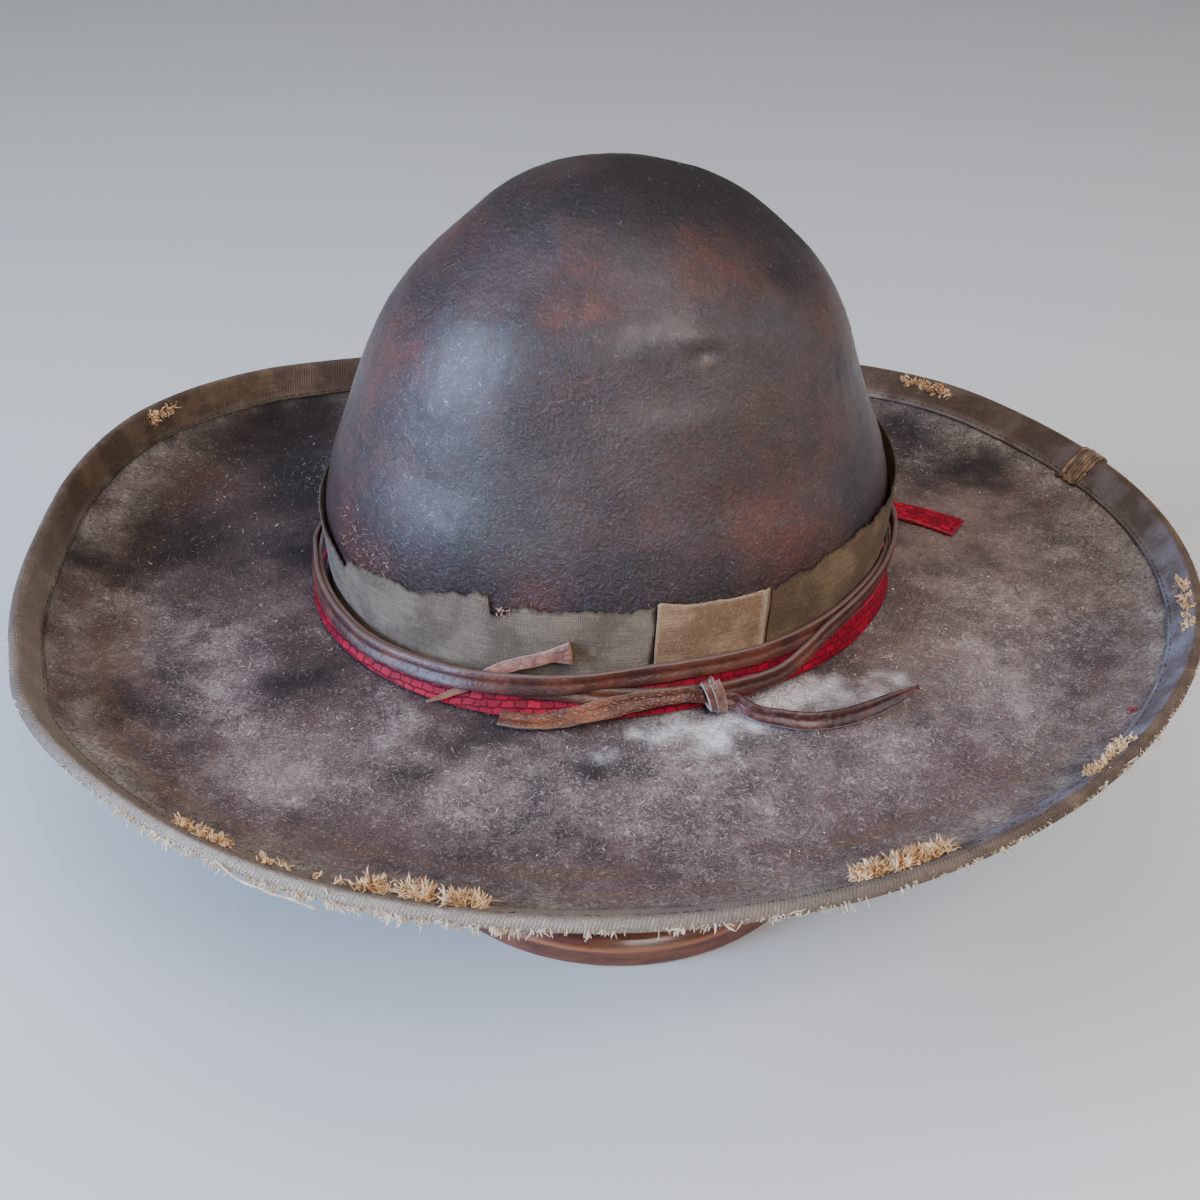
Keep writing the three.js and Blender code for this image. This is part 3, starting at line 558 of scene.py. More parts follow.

# %% [markdown]
# ### Where the felt is worn, and where light and shade are painted
# Dust, rust, tan and dark wax lie where hands, sun and rain have put them. Some spots are painted
# light and shade instead: grey ones are highlights on the crown's front and front left, and dark ones
# are shadow in the front dent and in the hollow inside the brim's left back. They could be painted on
# an image, but a few dozen soft spots do it too: each has a place and a size, its edge drifts with
# noise, and the material adds the fine grain. The dark streaks along the rim are noise stretched round it.

# %% Places on the felt
# Each place: its x, y and z from the crown's foot, and its size, all in millimetres.
RUST = [(-68, -31, 105, 15), (-78, -28, 89, 13), (-4, -47, 140, 13), (-13, -50, 134, 9), (41, -36, 140, 15),
        (31, -36, 145, 12), (55, -65, 68, 14), (65, -65, 52, 15), (-78, -51, 44, 15), (-23, -82, 42, 12),
        (79, -21, 108, 16), (-47, -10, 139, 12), (-50, 55, 110, 16), (40, 60, 90, 18), (75, 40, 70, 15),
        (0, 62, 120, 14), (-165, 95, -5, 26), (-145, 60, -3, 20), (-150, 0, -2, 14), (-98, -96, -3, 12),
        (95, -60, -2, 12), (110, 20, -2, 20)]
# Dark spots are darker, duller felt, but the dent spot (31, -59, 117) and the four at x -118 to -154, y 60 to
# 154, are painted shadow.
DARK_AND_SHADOW = [(12, -21, 156, 26), (38, -10, 152, 22), (30, 5, 158, 24), (60, 0, 140, 14), (-13, -30, 151, 13),
        (57, -33, 131, 13), (31, -59, 117, 5), (-154, 127, -6, 26), (-132, 154, -6, 24), (-157, 30, -2, 22),
        (-40, -101, 0, 12), (78, -103, -2, 7), (133, 128, -4, 20), (-1, -113, -1, 10), (158, 88, -4, 14),
        (-194, 7, 1, 12), (60, 130, 0, 24), (-60, 150, 0, 24), (-118, 60, -2, 24), (-124, 95, -2, 24),
        (-118, 15, -2, 15), (-100, -62, -2, 12), (-62, -118, -2, 9)]
# The seven grey spots in front, y below zero, are painted highlight on the crown; the two at the back are
# greyer felt.
GREY_AND_HIGHLIGHT = [(-38, -55, 113, 22), (-42, -65, 86, 24), (12, -70, 96, 18), (28, -71, 85, 18), (47, -60, 98, 16),
        (31, -58, 121, 13), (-20, -74, 66, 22), (-10, 60, 90, 26), (50, 50, 110, 18)]
TAN = [(120, 0, -3, 34), (150, 52, -3, 26), (105, -62, -2, 24), (135, -62, -4, 26), (70, -116, -3, 22),
       (-100, -112, -3, 16), (-165, -45, -3, 20), (-40, -118, -2, 16), (165, 5, -3, 30), (60, 150, -2, 30),
       (-70, 130, -2, 24)]
DUST = [(-150, -42, -2, 20), (-174, -15, -3, 14), (-108, -111, -3, 20), (-126, -79, -2, 17),
        (-87, -122, -3, 18), (-13, -121, -2, 20), (-38, -130, -2, 18), (13, -96, 0, 14), (39, -94, 0, 16),
        (62, -96, -1, 16), (36, -100, 0, 12), (58, -102, -1, 12), (88, -74, 0, 9), (-70, -84, 0, 9),
        (-96, -40, 0, 9), (47, -131, -4, 24), (21, -136, -3, 20), (97, -109, -4, 20), (136, -76, -4, 22),
        (147, -16, -2, 20), (171, -27, -4, 22), (140, 108, -5, 14), (156, 130, 2, 18), (191, 13, -3, 24),
        (-180, 106, -4, 16), (-194, 56, -1, 14), (-66, -103, -1, 12), (120, -40, -3, 26),
        (-110, 90, -2, 18), (20, 160, 0, 26), (90, 110, -2, 22)]
CHALK = [(-4, -104, 0, 4), (6, -101, 0, 4), (16, -99, 0, 5), (26, -96, 0, 6), (36, -94, 0, 6),
         (46, -91, 0, 6), (55, -89, 0, 6), (64, -85, 0, 6), (73, -80, 0, 6), (82, -75, 0, 5),
         (91, -69, 0, 4), (99, -62, 0, 4)]
print("places:", sum(len(places) for places in (RUST, DARK_AND_SHADOW, GREY_AND_HIGHLIGHT, TAN, DUST, CHALK)))

# %% Soft masks
def spots(points, places):
    """A soft mask round chosen places, with edges that drift."""
    drift = [lumps(points, 26 * MM, k) * 13 + lumps(points, 8 * MM, k) * 6 for k in (1.3, 4.1, 7.7)]
    away = points / MM - CROWN_FOOT + np.stack(drift, -1)
    total = sum(np.exp(-(((away - place[:3]) / place[3]) ** 2).sum(-1)) for place in np.array(places, float))
    return np.clip(total, 0, 1)


turn_there = turns * 2 * np.pi + 0 * inside_rim
stretched = np.stack([np.cos(turn_there) * 3, np.sin(turn_there) * 3, inside_rim / (2.6 * MM)], -1)
streaks = np.clip(0.25 + 2.4 * lumps(stretched, 1.0, 2.4), 0, 1)
by_tape = np.clip(1 - (inside_rim - 17 * MM) / (16 * MM), 0, 1)
by_streak = np.clip(1.6 - np.abs(inside_rim - 26 * MM) / (10 * MM), 0, 1)
at_sides = 0.4 + 0.6 * np.clip(np.abs(face[..., 0]) / (150 * MM), 0, 1) ** 2
in_front = 0.35 + 0.65 * np.clip(-face[..., 1] / (120 * MM), 0, 1)
upper_masks = {
    "crown": on_crown,
    "rust": spots(face, RUST),
    "dark": spots(face, DARK_AND_SHADOW),
    "grey": spots(face, GREY_AND_HIGHLIGHT),
    "dust": np.clip(spots(face, DUST) + 0.12, 0, 1),
    "chalk": spots(face, CHALK),
    "edge": by_tape * np.clip(0.6 + lumps(face, 14 * MM, 5.5), 0, 1) * at_sides,
    "streak": by_streak * streaks * in_front,
    "tan": spots(face, TAN),
}
print("mean of each mask:", {name: round(float(values.mean()), 3) for name, values in upper_masks.items()})

# %% Felt body
body = np.concatenate([shown_face[1:], under[1:-1]])
rows = len(body)
plain_rows = np.zeros((rows - len(face) + 1, ROUND))
masks = {name: np.concatenate([values[1:], plain_rows]) for name, values in upper_masks.items()}
i, j = np.meshgrid(np.arange(rows - 1), np.arange(ROUND), indexing="ij")
beyond = (j + 1) % ROUND
quads = np.stack([i * ROUND + j, (i + 1) * ROUND + j, (i + 1) * ROUND + beyond, i * ROUND + beyond], -1)
last = (rows - 1) * ROUND
add_piece("felt body", body.reshape(-1, 3), quads.reshape(-1, 4), felt_material, ["hat_felt"],
          masks=masks, caps=[list(range(ROUND)), list(range(last, last + ROUND))[::-1]])
top_of_felt = BVHTree.FromPolygons(shown_face[1:].reshape(-1, 3).tolist(),
                                   quads[: len(face) - 2].reshape(-1, 4).tolist())


def on_felt(x, y):
    """The felt's upper face under a point, and its normal."""
    hit = top_of_felt.ray_cast(Vector((x, y, 1.0)), Vector((0, 0, -1)))
    normal = hit[1] if hit[1].z > 0 else -hit[1]
    return np.array(hit[0]), np.array(normal)

# %% [markdown]
# ## Cloth tape and ribbon
# The brim is bound with ribbed tape and the crown wears a strip of the same kind, patched from three
# lengths. Ribbed tape has thick weft threads packed side by side, so it shows fine ribs straight across.
# One recipe makes each cloth, with its own colours. A mask darkens the burnt and frayed edge.

# %% Cloth materials
WORN_BLUE = (0.27, 0.265, 0.33)  # the cool bloom on the tape at the hat's right
ROUGH_CLOTH = 0.9


def cloth(name, dark, light, edge, per_metre=1700.0, slant=0.0, relief=0.00025, grooves=0.15):
    """Cloth with so many ribs to the metre, their slant, the relief in metres and the grooves' darkness."""
    material, tree, shader, where = new_material(name)
    place, metres = where["Object"], where["UV"]
    rib = place_group(tree, ribs, Where=metres, Per_metre=per_metre, Slant=slant)["Height"]
    hair = place_group(tree, fibres, Where=place, Per_metre=1100.0)
    stain, speck = blotch(tree, place, 60.0), blotch(tree, place, 420.0, 0.3)
    along = add(tree, "Mapping", {"Vector": metres, "Scale": (70.0, 1500.0, 1.0)}).outputs[0]
    weft = add(tree, "TexNoise",
               {"Vector": along, "Scale": 1.0, "Detail": 2.0, "Roughness": 0.6}).outputs["Fac"]
    colour = layered(
        tree, mix(tree, between(tree, stain, 0.15, 0.85), dark, light),
        (spread(tree, weft, 0.35, 0.6, 0.45, 0.0), tinted(dark, 0.5)),
        (between(tree, rib, grooves, 0.0), tinted(dark, 0.4)),
        (times(tree, speck, 0.25), tinted(dark, 0.55)),
        (times(tree, hair["Light hairs"], 0.3), tinted(light, 1.7)),
        (mask(tree, "edge"), edge),
        (times(tree, mask(tree, "cool"), between(tree, stain, 0.25, 0.9)), WORN_BLUE),
    )
    tree.links.new(colour, shader.inputs["Base Color"])
    shader.inputs["Roughness"].default_value = ROUGH_CLOTH
    bump(tree, shader, plus(tree, times(tree, plus(tree, rib, weft), 0.55), hair["Height"]), relief)
    print(name + ":", len(tree.nodes), "nodes")
    return material


tape_material = cloth("ribbed tape", (0.08, 0.043, 0.026), (0.27, 0.168, 0.108), (0.5, 0.43, 0.37),
                      per_metre=900.0, slant=0.3, relief=0.0008, grooves=0.45)
grey_material = cloth("grey ribbon", (0.125, 0.09, 0.062), (0.3, 0.235, 0.17), (0.025, 0.014, 0.011))
tan_material = cloth("tan ribbon", (0.22, 0.118, 0.062), (0.52, 0.335, 0.2), (0.66, 0.5, 0.36), relief=0.0003)
olive_material = cloth("olive ribbon", (0.085, 0.048, 0.026), (0.25, 0.162, 0.09), (0.03, 0.018, 0.013))

# %% [markdown]
# ## The bound rim
# The tape is folded over the rim like a hem and sewn through. Its section is a narrow channel: over
# the felt, round the nose and back underneath. It is swept round the rim, puckering a little between
# stitches, and it is narrower at the front, where it has worn back. Its pale fold and its cool right
# side are masks that follow the angle round the hat.

# %% The rim's frame
RIM = 720
rim_turns = np.arange(RIM) / RIM
felt_thickness = np.linalg.norm(face_rings[-1] - under_rings[0], axis=-1).mean()
half_mm = felt_thickness / 2 / MM


def rim_frame(at):
    """The rim's middle line, the way in along the felt and the way up out of it."""
    upper, lower, crease = (loop(r, at) for r in (face_rings[-1], under_rings[0], face_rings[-2]))
    return (upper + lower) / 2, unit(crease - upper), unit(upper - lower)


def rim_point(at, inward, off):
    """Points given by millimetres in from the rim and off the felt's middle."""
    middle, way_in, way_up = rim_frame(np.atleast_1d(at))
    inward, off = np.asarray(inward, float)[..., None] * MM, np.asarray(off, float)[..., None] * MM
    return middle + way_in * inward + way_up * off


def by_angle(degrees, pairs):
    """A value at each angle round the hat, from pairs of an angle and its value."""
    angles, values = np.array(pairs, float).T
    return np.interp(degrees, angles, values, period=360)


rim_points = rim_frame(rim_turns)[0]
rim_polar = np.degrees(np.arctan2(rim_points[:, 1], rim_points[:, 0])) % 360
print("felt", (felt_thickness / MM).round(2), "mm thick at the rim")

# %% The tape's section
TAPE_WIDTH = [(0, 13), (60, 14), (150, 14.2), (200, 14), (235, 12.6), (270, 11.6), (300, 11.8), (340, 12.6)]
# Over the felt and back under it, points are a share of the tape's width in from the rim and the
# millimetres off the felt's face. Round the nose they are millimetres in, and shares of 0.6 off.
OVER = ((1, 0.2), (0.99, 0.75), (0.93, 0.95), (0.7, 1.0), (0.5, 0.95), (0.3, 1.0), (0.12, 1.05), (0, 0.95))
NOSE = ((-0.65, 0.6), (-1.05, 0.35), (-1.15, 0), (-1.05, -0.35), (-0.65, -0.6))
BACK = ((0, 0.95), (0.3, 1.0), (0.7, 0.95), (0.99, 0.75), (1, 0.2))
INSIDE = ((0.9, -1), (0.0, -1), (-0.02, 0), (0.0, 1), (0.9, 1))
PUCKERED = (*range(1, 7), *range(14, 17))  # the points of the section that pucker between stitches
tape_width = by_angle(rim_polar, TAPE_WIDTH)
section = [(share * tape_width, half_mm + off) for share, off in OVER]
section += [(np.full(RIM, inward), off * half_mm / 0.6) for inward, off in NOSE]
section += [(share * tape_width, -half_mm - off) for share, off in BACK]
section += [(share * tape_width, side * (half_mm + 0.08)) for share, side in INSIDE]
pucker = lumps(rim_points, 7 * MM, 2.2) * 0.16 + lumps(rim_points, 3 * MM, 5.2) * 0.07
tape = np.stack([rim_point(rim_turns, inward, off + (pucker * np.sign(off) if k in PUCKERED else 0))
                 for k, (inward, off) in enumerate(section)], 1)
tape += (lumps(tape, 9 * MM, 4.0) * 0.1 * MM)[..., None] * rim_frame(rim_turns)[2][:, None]
print("tape section:", len(section), "points, pucker up to", np.abs(pucker).max().round(2), "mm")

# %% Binding
PALE_NOSE = [(0, 0), (90, 0), (180, 0.05), (210, 0.3), (232, 0.95), (262, 0.7), (285, 0.3), (310, 0.05)]
PALE_TOP = [(170, 0), (190, 0.9), (215, 0.9), (240, 1), (285, 1), (300, 0)]
PALE_EDGE = [(0, 1), (60, 0.8), (120, 0.3), (200, 1), (260, 0.4), (320, 1)]
COOL = [(0, 0.9), (20, 0.5), (40, 0), (285, 0), (310, 0.7), (345, 1)]
pale = np.zeros(tape.shape[:2])
pale[:, 8:14] = by_angle(rim_polar, PALE_NOSE)[:, None]
pale[:, 2:8] = 0.3 * by_angle(rim_polar, PALE_TOP)[:, None]
wear_and_highlight = np.clip(0.5 + lumps(tape[:, :3], 10 * MM, 3.6), 0, 1)
pale[:, :3] = 0.55 * wear_and_highlight * by_angle(rim_polar, PALE_EDGE)[:, None]
cool = np.zeros(tape.shape[:2])
cool[:, :7] = by_angle(rim_polar, COOL)[:, None]
sweep("binding", tape, tape_material, closed=True, nodes=["brim_binding"],
      masks={"edge": pale, "cool": cool})

# %% [markdown]
# ## Loose hairs and threads
# What makes old felt and cut cloth look real is what stands off it: short hairs, frayed ends and
# tufts. Each is a very thin three-sided tube that bends as it goes and ends in a point. One function
# makes thousands of them as a single mesh from their roots and directions.

# %% Strands
chance = np.random.default_rng(11)
THIRDS = (0, 2.094, 4.189)  # a third of a turn apart, in radians


def strands(name, roots, ways, lengths, thick, curl, material, steps=3, nodes=()):
    """Thin pointed threads from roots. All sizes are in metres, and curl is the bend at each step."""
    count = len(roots)
    spot, way = np.array(roots, float), unit(np.array(ways, float))
    side = unit(np.cross(way, chance.normal(size=(count, 3))))
    other = np.cross(way, side)
    rings_made = []
    for k in range(steps):
        width = thick * (1 - 0.25 * k / steps)
        ring = [spot + width[:, None] * (side * math.cos(a) + other * math.sin(a)) / 2 for a in THIRDS]
        rings_made.append(np.stack(ring, 1))
        way = unit(way + curl * chance.normal(size=(count, 3)))
        spot = spot + way * (lengths / steps)[:, None]
    points = np.concatenate([np.concatenate(rings_made, 1), spot[:, None]], 1)
    tip = 3 * steps
    sides = [(a, (a + 1) % 3) for a in range(3)]
    faces = [[3 * k + a, 3 * k + b, 3 * k + 3 + b, 3 * k + 3 + a] for k in range(steps - 1) for a, b in sides]
    ends = [[tip - 3 + a, tip - 3 + b, tip] for a, b in sides] + [[0, 2, 1]]
    start = (np.arange(count) * (tip + 1))[:, None, None]
    quads_made, triangles = (start + np.array(faces)).reshape(-1, 4), (start + np.array(ends)).reshape(-1, 3)
    return add_piece(name, points.reshape(-1, 3), quads_made, material, nodes, caps=triangles.tolist())

# %% Thread materials
def thread(name, colour_a, colour_b, roughness=0.8):
    material, tree, shader, where = new_material(name)
    tone = blotch(tree, where["Object"], 260.0)
    tree.links.new(mix(tree, tone, colour_a, colour_b), shader.inputs["Base Color"])
    shader.inputs["Roughness"].default_value = roughness
    return material


pale_hair = thread("pale hairs", (0.3, 0.25, 0.23), (0.62, 0.57, 0.54))
dark_hair = thread("brown hairs", (0.1, 0.065, 0.05), (0.34, 0.25, 0.2))
straw_hair = thread("straw tufts", (0.5, 0.27, 0.12), (0.85, 0.62, 0.38))
white_hair = thread("frayed threads", (0.5, 0.4, 0.29), (0.84, 0.74, 0.6))
pink_hair = thread("pinkish frays", (0.42, 0.24, 0.19), (0.66, 0.46, 0.38))
black_thread = thread("dark stitches", (0.02, 0.014, 0.013), (0.05, 0.035, 0.03))
print("materials so far:", len(bpy.data.materials))

# %% [markdown]
# ## Fuzz on the felt
# Hairs lie nearly flat, in no one direction, thick on the dusty brim and rare on the polished crown. A
# particle system could place them, but roots picked from the felt's own grid can be thinned by the dust
# mask. None stand on the rim or the crown's foot, where tape and bands cover the felt.

# %% Felt fuzz
TRIES = 90000
MOST_HAIRS = 20000  # of either colour
rr, cc = chance.integers(8, len(face) - 8, TRIES), chance.integers(0, ROUND, TRIES)
area = np.linalg.norm(face[rr, (cc + 1) % ROUND] - face[rr, cc], axis=-1)
density = np.where(on_crown[rr, cc] > 0.5, 0.35, 0.35 + 0.9 * upper_masks["dust"][rr, cc])
keep = chance.random(TRIES) < area / area.max() * density
off_bands = (on_crown[rr, cc] < 0.02) | (face[rr, cc][:, 2] > foot_z + 50 * MM)
keep &= (inside_rim[rr, cc] > 14 * MM) & off_bands
rr, cc = rr[keep], cc[keep]
shift = chance.random((len(rr), 1))
roots = shown_face[rr, cc] * (1 - shift) + shown_face[rr, (cc + 1) % ROUND] * shift
out = face_normals[rr, cc]
ways = chance.normal(size=(len(rr), 3))
ways = unit(ways - (ways * out).sum(1)[:, None] * out) + out * chance.uniform(0.02, 0.35, (len(rr), 1))
shorter = np.where(on_crown[rr, cc] > 0.5, 0.6, 1)
long = chance.uniform(1.0, 3.0, len(rr)) * shorter * MM
thick = chance.uniform(0.1, 0.2, len(rr)) * shorter * MM
dusty = (upper_masks["dust"][rr, cc] + chance.random(len(rr)) * 0.5) > 0.5
for name, some, material in (("pale fuzz", dusty, pale_hair), ("brown fuzz", ~dusty, dark_hair)):
    some = np.flatnonzero(some)[:MOST_HAIRS]
    strands(name, roots[some], ways[some], long[some], thick[some], 0.45, material, steps=2)

# %% White crumbs
CRUMBS = 260
FIRST_BRIM_ROW, LAST_BRIM_ROW = int(len(face) * 0.62), len(face) - 9
rr, cc = chance.integers(FIRST_BRIM_ROW, LAST_BRIM_ROW, CRUMBS), chance.integers(0, ROUND, CRUMBS)
ways = chance.normal(size=(CRUMBS, 3)) * (1, 1, 0.3) + (0, 0, 0.3)
strands("white crumbs", shown_face[rr, cc], ways, chance.uniform(0.6, 2.2, CRUMBS) * MM,
        chance.uniform(0.3, 0.6, CRUMBS) * MM, 0.6, white_hair)

# %% [markdown]
# ### Two flecks of lint
# A red fleck and a white one have caught on the brim's right. Each is a pinch of short threads.

# %% Two flecks on the brim
LINT = 14
red_lint = thread("red lint", (0.2, 0.004, 0.02), (0.34, 0.01, 0.04))
for name, x, y, material in (("red fleck", 178, -86, red_lint), ("white fleck", 100, -55, white_hair)):
    spot, normal = on_felt(*((np.array((x, y)) + CROWN_FOOT[:2]) * MM))
    ways = chance.normal(size=(LINT, 3)) * (1, 0.5, 0.1) + normal * 0.2
    strands(name, spot + chance.normal(size=(LINT, 3)) * 0.5 * MM, ways, chance.uniform(1.5, 3.0, LINT) * MM,
            chance.uniform(0.4, 0.7, LINT) * MM, 0.4, material, steps=4)

# %% [markdown]
# ## Strips from the solids
# Band, lace and slip are flat strips. Each cross-section of such a solid has four corners, and from
# them come its middle, half its width and half its thickness. A smooth curve through these three lets
# any finer section be swept along the very same route.

# %% Strip routes
def cross_sections(node, start=None, along=None):
    """A strip's corners in fours, sorted round the crown from a start in turns, or along a direction."""
    points, _ = corners(node)
    if along is None:
        key = np.mod(oval_turn(points) - start, 1)
    else:
        key = points @ np.array(along)
    return points[np.argsort(key)].reshape(-1, 4, 3)


def strip_route(fours):
    """Middle, half width and half thickness of each section, the width keeping one sense throughout."""
    route, before = [], None
    for four in fours:
        sides = four[1:] - four[0]
        thin, wide_side = sides[np.argsort(np.linalg.norm(sides, axis=1))[:2]]
        if before is not None and abs(unit(thin) @ before) > abs(unit(wide_side) @ before):
            thin, wide_side = wide_side, thin
        if before is None and wide_side[2] < 0 or before is not None and wide_side @ before < 0:
            wide_side = -wide_side
        away = four.mean(0) - oval_middle
        if thin @ (unit(away * (1, 1, 0)) + (0, 0, 0.8)) < 0:
            thin = -thin
        before = unit(wide_side)
        route.append([four.mean(0), wide_side / 2, thin / 2])
    return np.array(route)

# %% Finer strips
def finer(route, count, closed=False):
    """The same route with count sections."""
    if closed:
        return loop(route, np.arange(count) / count)
    return curve(route, np.arange(len(route)) / (len(route) - 1), np.linspace(0, 1, count))


def strip(name, route, outline, material, closed=False, nodes=(), rough=0.0, masks=None):
    """A sweep of an outline, given in shares of half the width and half the thickness."""
    outline = np.asarray(outline, float)
    middle, across, out = (route[:, k][:, None] for k in range(3))
    sections = middle + across * outline[None, :, :1] + out * outline[None, :, 1:2]
    wobble = lumps(sections, 5 * MM, 9.1)[..., None] * rough
    sections = sections + unit(across) * wobble + unit(out) * wobble * 0.6
    if masks is None:
        edge = np.clip((np.abs(outline[:, 0]) - 0.9) / 0.07, 0, 1)
        masks = {"edge": np.repeat(edge[None], len(route), 0)}
    return sweep(name, sections, material, closed, nodes, masks)

# %% [markdown]
# ## Leather
# The lace is cut from oiled hide: brown and shiny on its face, with pale raw edges. The slip and the
# loose ends are drier, crinkled where they have been bent. Hide has a fine net of creases, which a
# cell pattern gives better than noise does.

# %% Leather materials
def leather(name, dark, light, edge, roughness, coat, crease=420.0, relief=0.00006, lines=0.15):
    """Hide with so many cells to the metre, the relief in metres, and lines as its creases' darkness."""
    material, tree, shader, where = new_material(name)
    place = where["Object"]
    stretch = add(tree, "Mapping", {"Vector": place, "Scale": (1.0, 1.0, 1.6)}).outputs[0]
    from_crease = add(tree, "TexVoronoi", {"Vector": stretch, "Scale": crease, "Randomness": 1.0},
                      feature="DISTANCE_TO_EDGE").outputs["Distance"]
    tone, scuff = blotch(tree, place, 70.0), blotch(tree, place, 520.0, 0.35)
    colour = layered(
        tree, mix(tree, tone, dark, light),
        (spread(tree, from_crease, 0.0, 0.12, lines, 0.0), tinted(dark, 0.4)),
        (times(tree, scuff, 0.12), edge),
        (mask(tree, "edge"), edge),
    )
    tree.links.new(colour, shader.inputs["Base Color"])
    tree.links.new(between(tree, scuff, roughness, roughness + 0.25), shader.inputs["Roughness"])
    shader.inputs["Coat Weight"].default_value = coat
    shader.inputs["Coat Roughness"].default_value = 0.3
    bump(tree, shader, plus(tree, spread(tree, from_crease, 0.0, 0.3), times(tree, tone, 0.5)), relief)
    print(name + ":", len(tree.nodes), "nodes")
    return material


lace_material = leather("oiled lace", (0.05, 0.013, 0.008), (0.125, 0.034, 0.017), (0.13, 0.08, 0.07),
                        roughness=0.46, coat=0.08)
rust_material = leather("bent lace end", (0.09, 0.022, 0.009), (0.24, 0.064, 0.023), (0.16, 0.11, 0.08),
                        roughness=0.4, coat=0.1, crease=520.0, relief=0.0002, lines=0.5)
end_material = leather("dark lace end", (0.03, 0.007, 0.007), (0.085, 0.02, 0.017), (0.4, 0.36, 0.37),
                       roughness=0.42, coat=0.1)
slip_material = leather("dry slip", (0.13, 0.042, 0.022), (0.32, 0.13, 0.075), (0.36, 0.23, 0.18),
                        roughness=0.45, coat=0.05, crease=260.0, relief=0.00012)
knot_material = leather("knotted lace", (0.12, 0.045, 0.035), (0.34, 0.19, 0.15), (0.5, 0.4, 0.38),
                        roughness=0.4, coat=0.1, crease=300.0, relief=0.0001)

# %% [markdown]
# ### Red scaled leather
# The band is red leather stamped with small scales. Brick courses give the offset rows of a snake's
# belly, but straight ones look like a wall. So noise bends the coordinates first, and wear fades some
# of the dark lines between the scales.

# %% Red scaled leather
RED, DEEP_RED = (0.4, 0.0008, 0.024, 1), (0.17, 0.0006, 0.012, 1)
BEND = (0.003, 0.0022, 0.0)  # metres that the rows of scales wander along and across
red_material, tree, shader, where = new_material("red scaled leather")
wander = add(tree, "TexNoise", {"Vector": where["UV"], "Scale": 260.0, "Detail": 2.0}).outputs["Color"]
bent = add(tree, "VectorMath", {0: wander, 1: BEND, 2: where["UV"]}, operation="MULTIPLY_ADD").outputs[0]
scales = add(tree, "TexBrick", {"Vector": bent, "Scale": 1.0, "Mortar Size": 0.0003, "Mortar Smooth": 0.8,
                                "Brick Width": 0.0046, "Row Height": 0.0027, "Color1": RED,
                                "Color2": DEEP_RED, "Mortar": DEEP_RED}, offset=0.5).outputs
wear, speck = blotch(tree, where["Object"], 330.0, 0.35), blotch(tree, where["Object"], 1500.0, 0.22)
colour = layered(
    tree, scales["Color"],
    (times(tree, wear, 0.5), (0.16, 0.001, 0.01)),
    (times(tree, scales["Fac"], between(tree, wear, 0.25, 1.0)), (0.01, 0.001, 0.003)),
    (times(tree, speck, 0.3), (0.5, 0.12, 0.14)),
    (times(tree, mask(tree, "edge"), 0.25), (0.5, 0.06, 0.09)),
)
tree.links.new(colour, shader.inputs["Base Color"])
shader.inputs["Roughness"].default_value = 0.6
shader.inputs["Specular IOR Level"].default_value = 0.25
bump(tree, shader, minus(tree, times(tree, wear, 0.3), scales["Fac"]), 0.0004)
print("red scaled leather:", len(tree.nodes), "nodes")

# %% [markdown]
# ## Crown ribbon
# The ribbon was once cut straight. It is now torn and burnt along its top, and at the left and right
# ends of the oval it has sprung away from the crown. Its torn edge is a list of heights round the
# crown, with small ragged steps added between them. The spring is measured from the solids. Each
# length is a thin closed strip, so that its cut edge shows its thickness.

# %% Torn top and sprung ends
# Height of the torn top in millimetres over the crown's foot, by angle round the oval.
TORN = [(0, 50), (20, 57), (45, 47), (90, 42), (140, 43), (175, 40), (190, 36), (200, 33.5), (205, 30),
        (208, 27), (210, 31.5), (216, 33), (223, 35), (230, 34), (235, 35.6), (240, 39), (243, 38),
        (245.5, 41), (247.6, 40), (248, 34), (250, 32.6), (253, 37.6), (258, 37), (266, 38.3), (273, 37.4),
        (278.8, 39), (279.4, 41), (284, 39.2), (296, 39), (301.6, 39.6), (302.4, 38.2), (309, 41.5),
        (312, 41), (317, 44), (321, 43.4), (328, 45.5), (333, 44.6), (338, 46.2), (345, 46)]
RIBBONS = {"ribbon_grey": ("grey ribbon band", "grey_ribbon", grey_material),
           "ribbon_tan_patch": ("tan patch band", "tan_ribbon", tan_material),
           "ribbon_olive": ("olive ribbon band", "olive_ribbon", olive_material)}
foot_height = min(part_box(node)[0].z for node in RIBBONS) - foot_z
sprung = []
for node in RIBBONS:
    points, _ = corners(node)
    turn = oval_turn(points)
    empty_stretch = np.argmax(np.diff(np.append(np.sort(turn), np.min(turn) + 1)))
    start = np.sort(turn)[empty_stretch - len(turn) + 1]
    eights = points[np.argsort(np.mod(turn - start + 1e-4, 1))].reshape(-1, 8, 3)
    top = np.array([eight[np.argsort(eight[:, 2])[-2:]] for eight in eights])
    turn_top = oval_turn(top.mean(1)) * 360
    wall, out = crown(turn_top, top[:, 0, 2] - foot_z)
    sprung += list(zip(turn_top, ((top - wall[:, None]) * out[:, None]).sum(-1).min(1)))
sprung = np.array(sorted(sprung))
print("the ribbon stands off by up to", (sprung[:, 1].max() / MM).round(1), "mm")

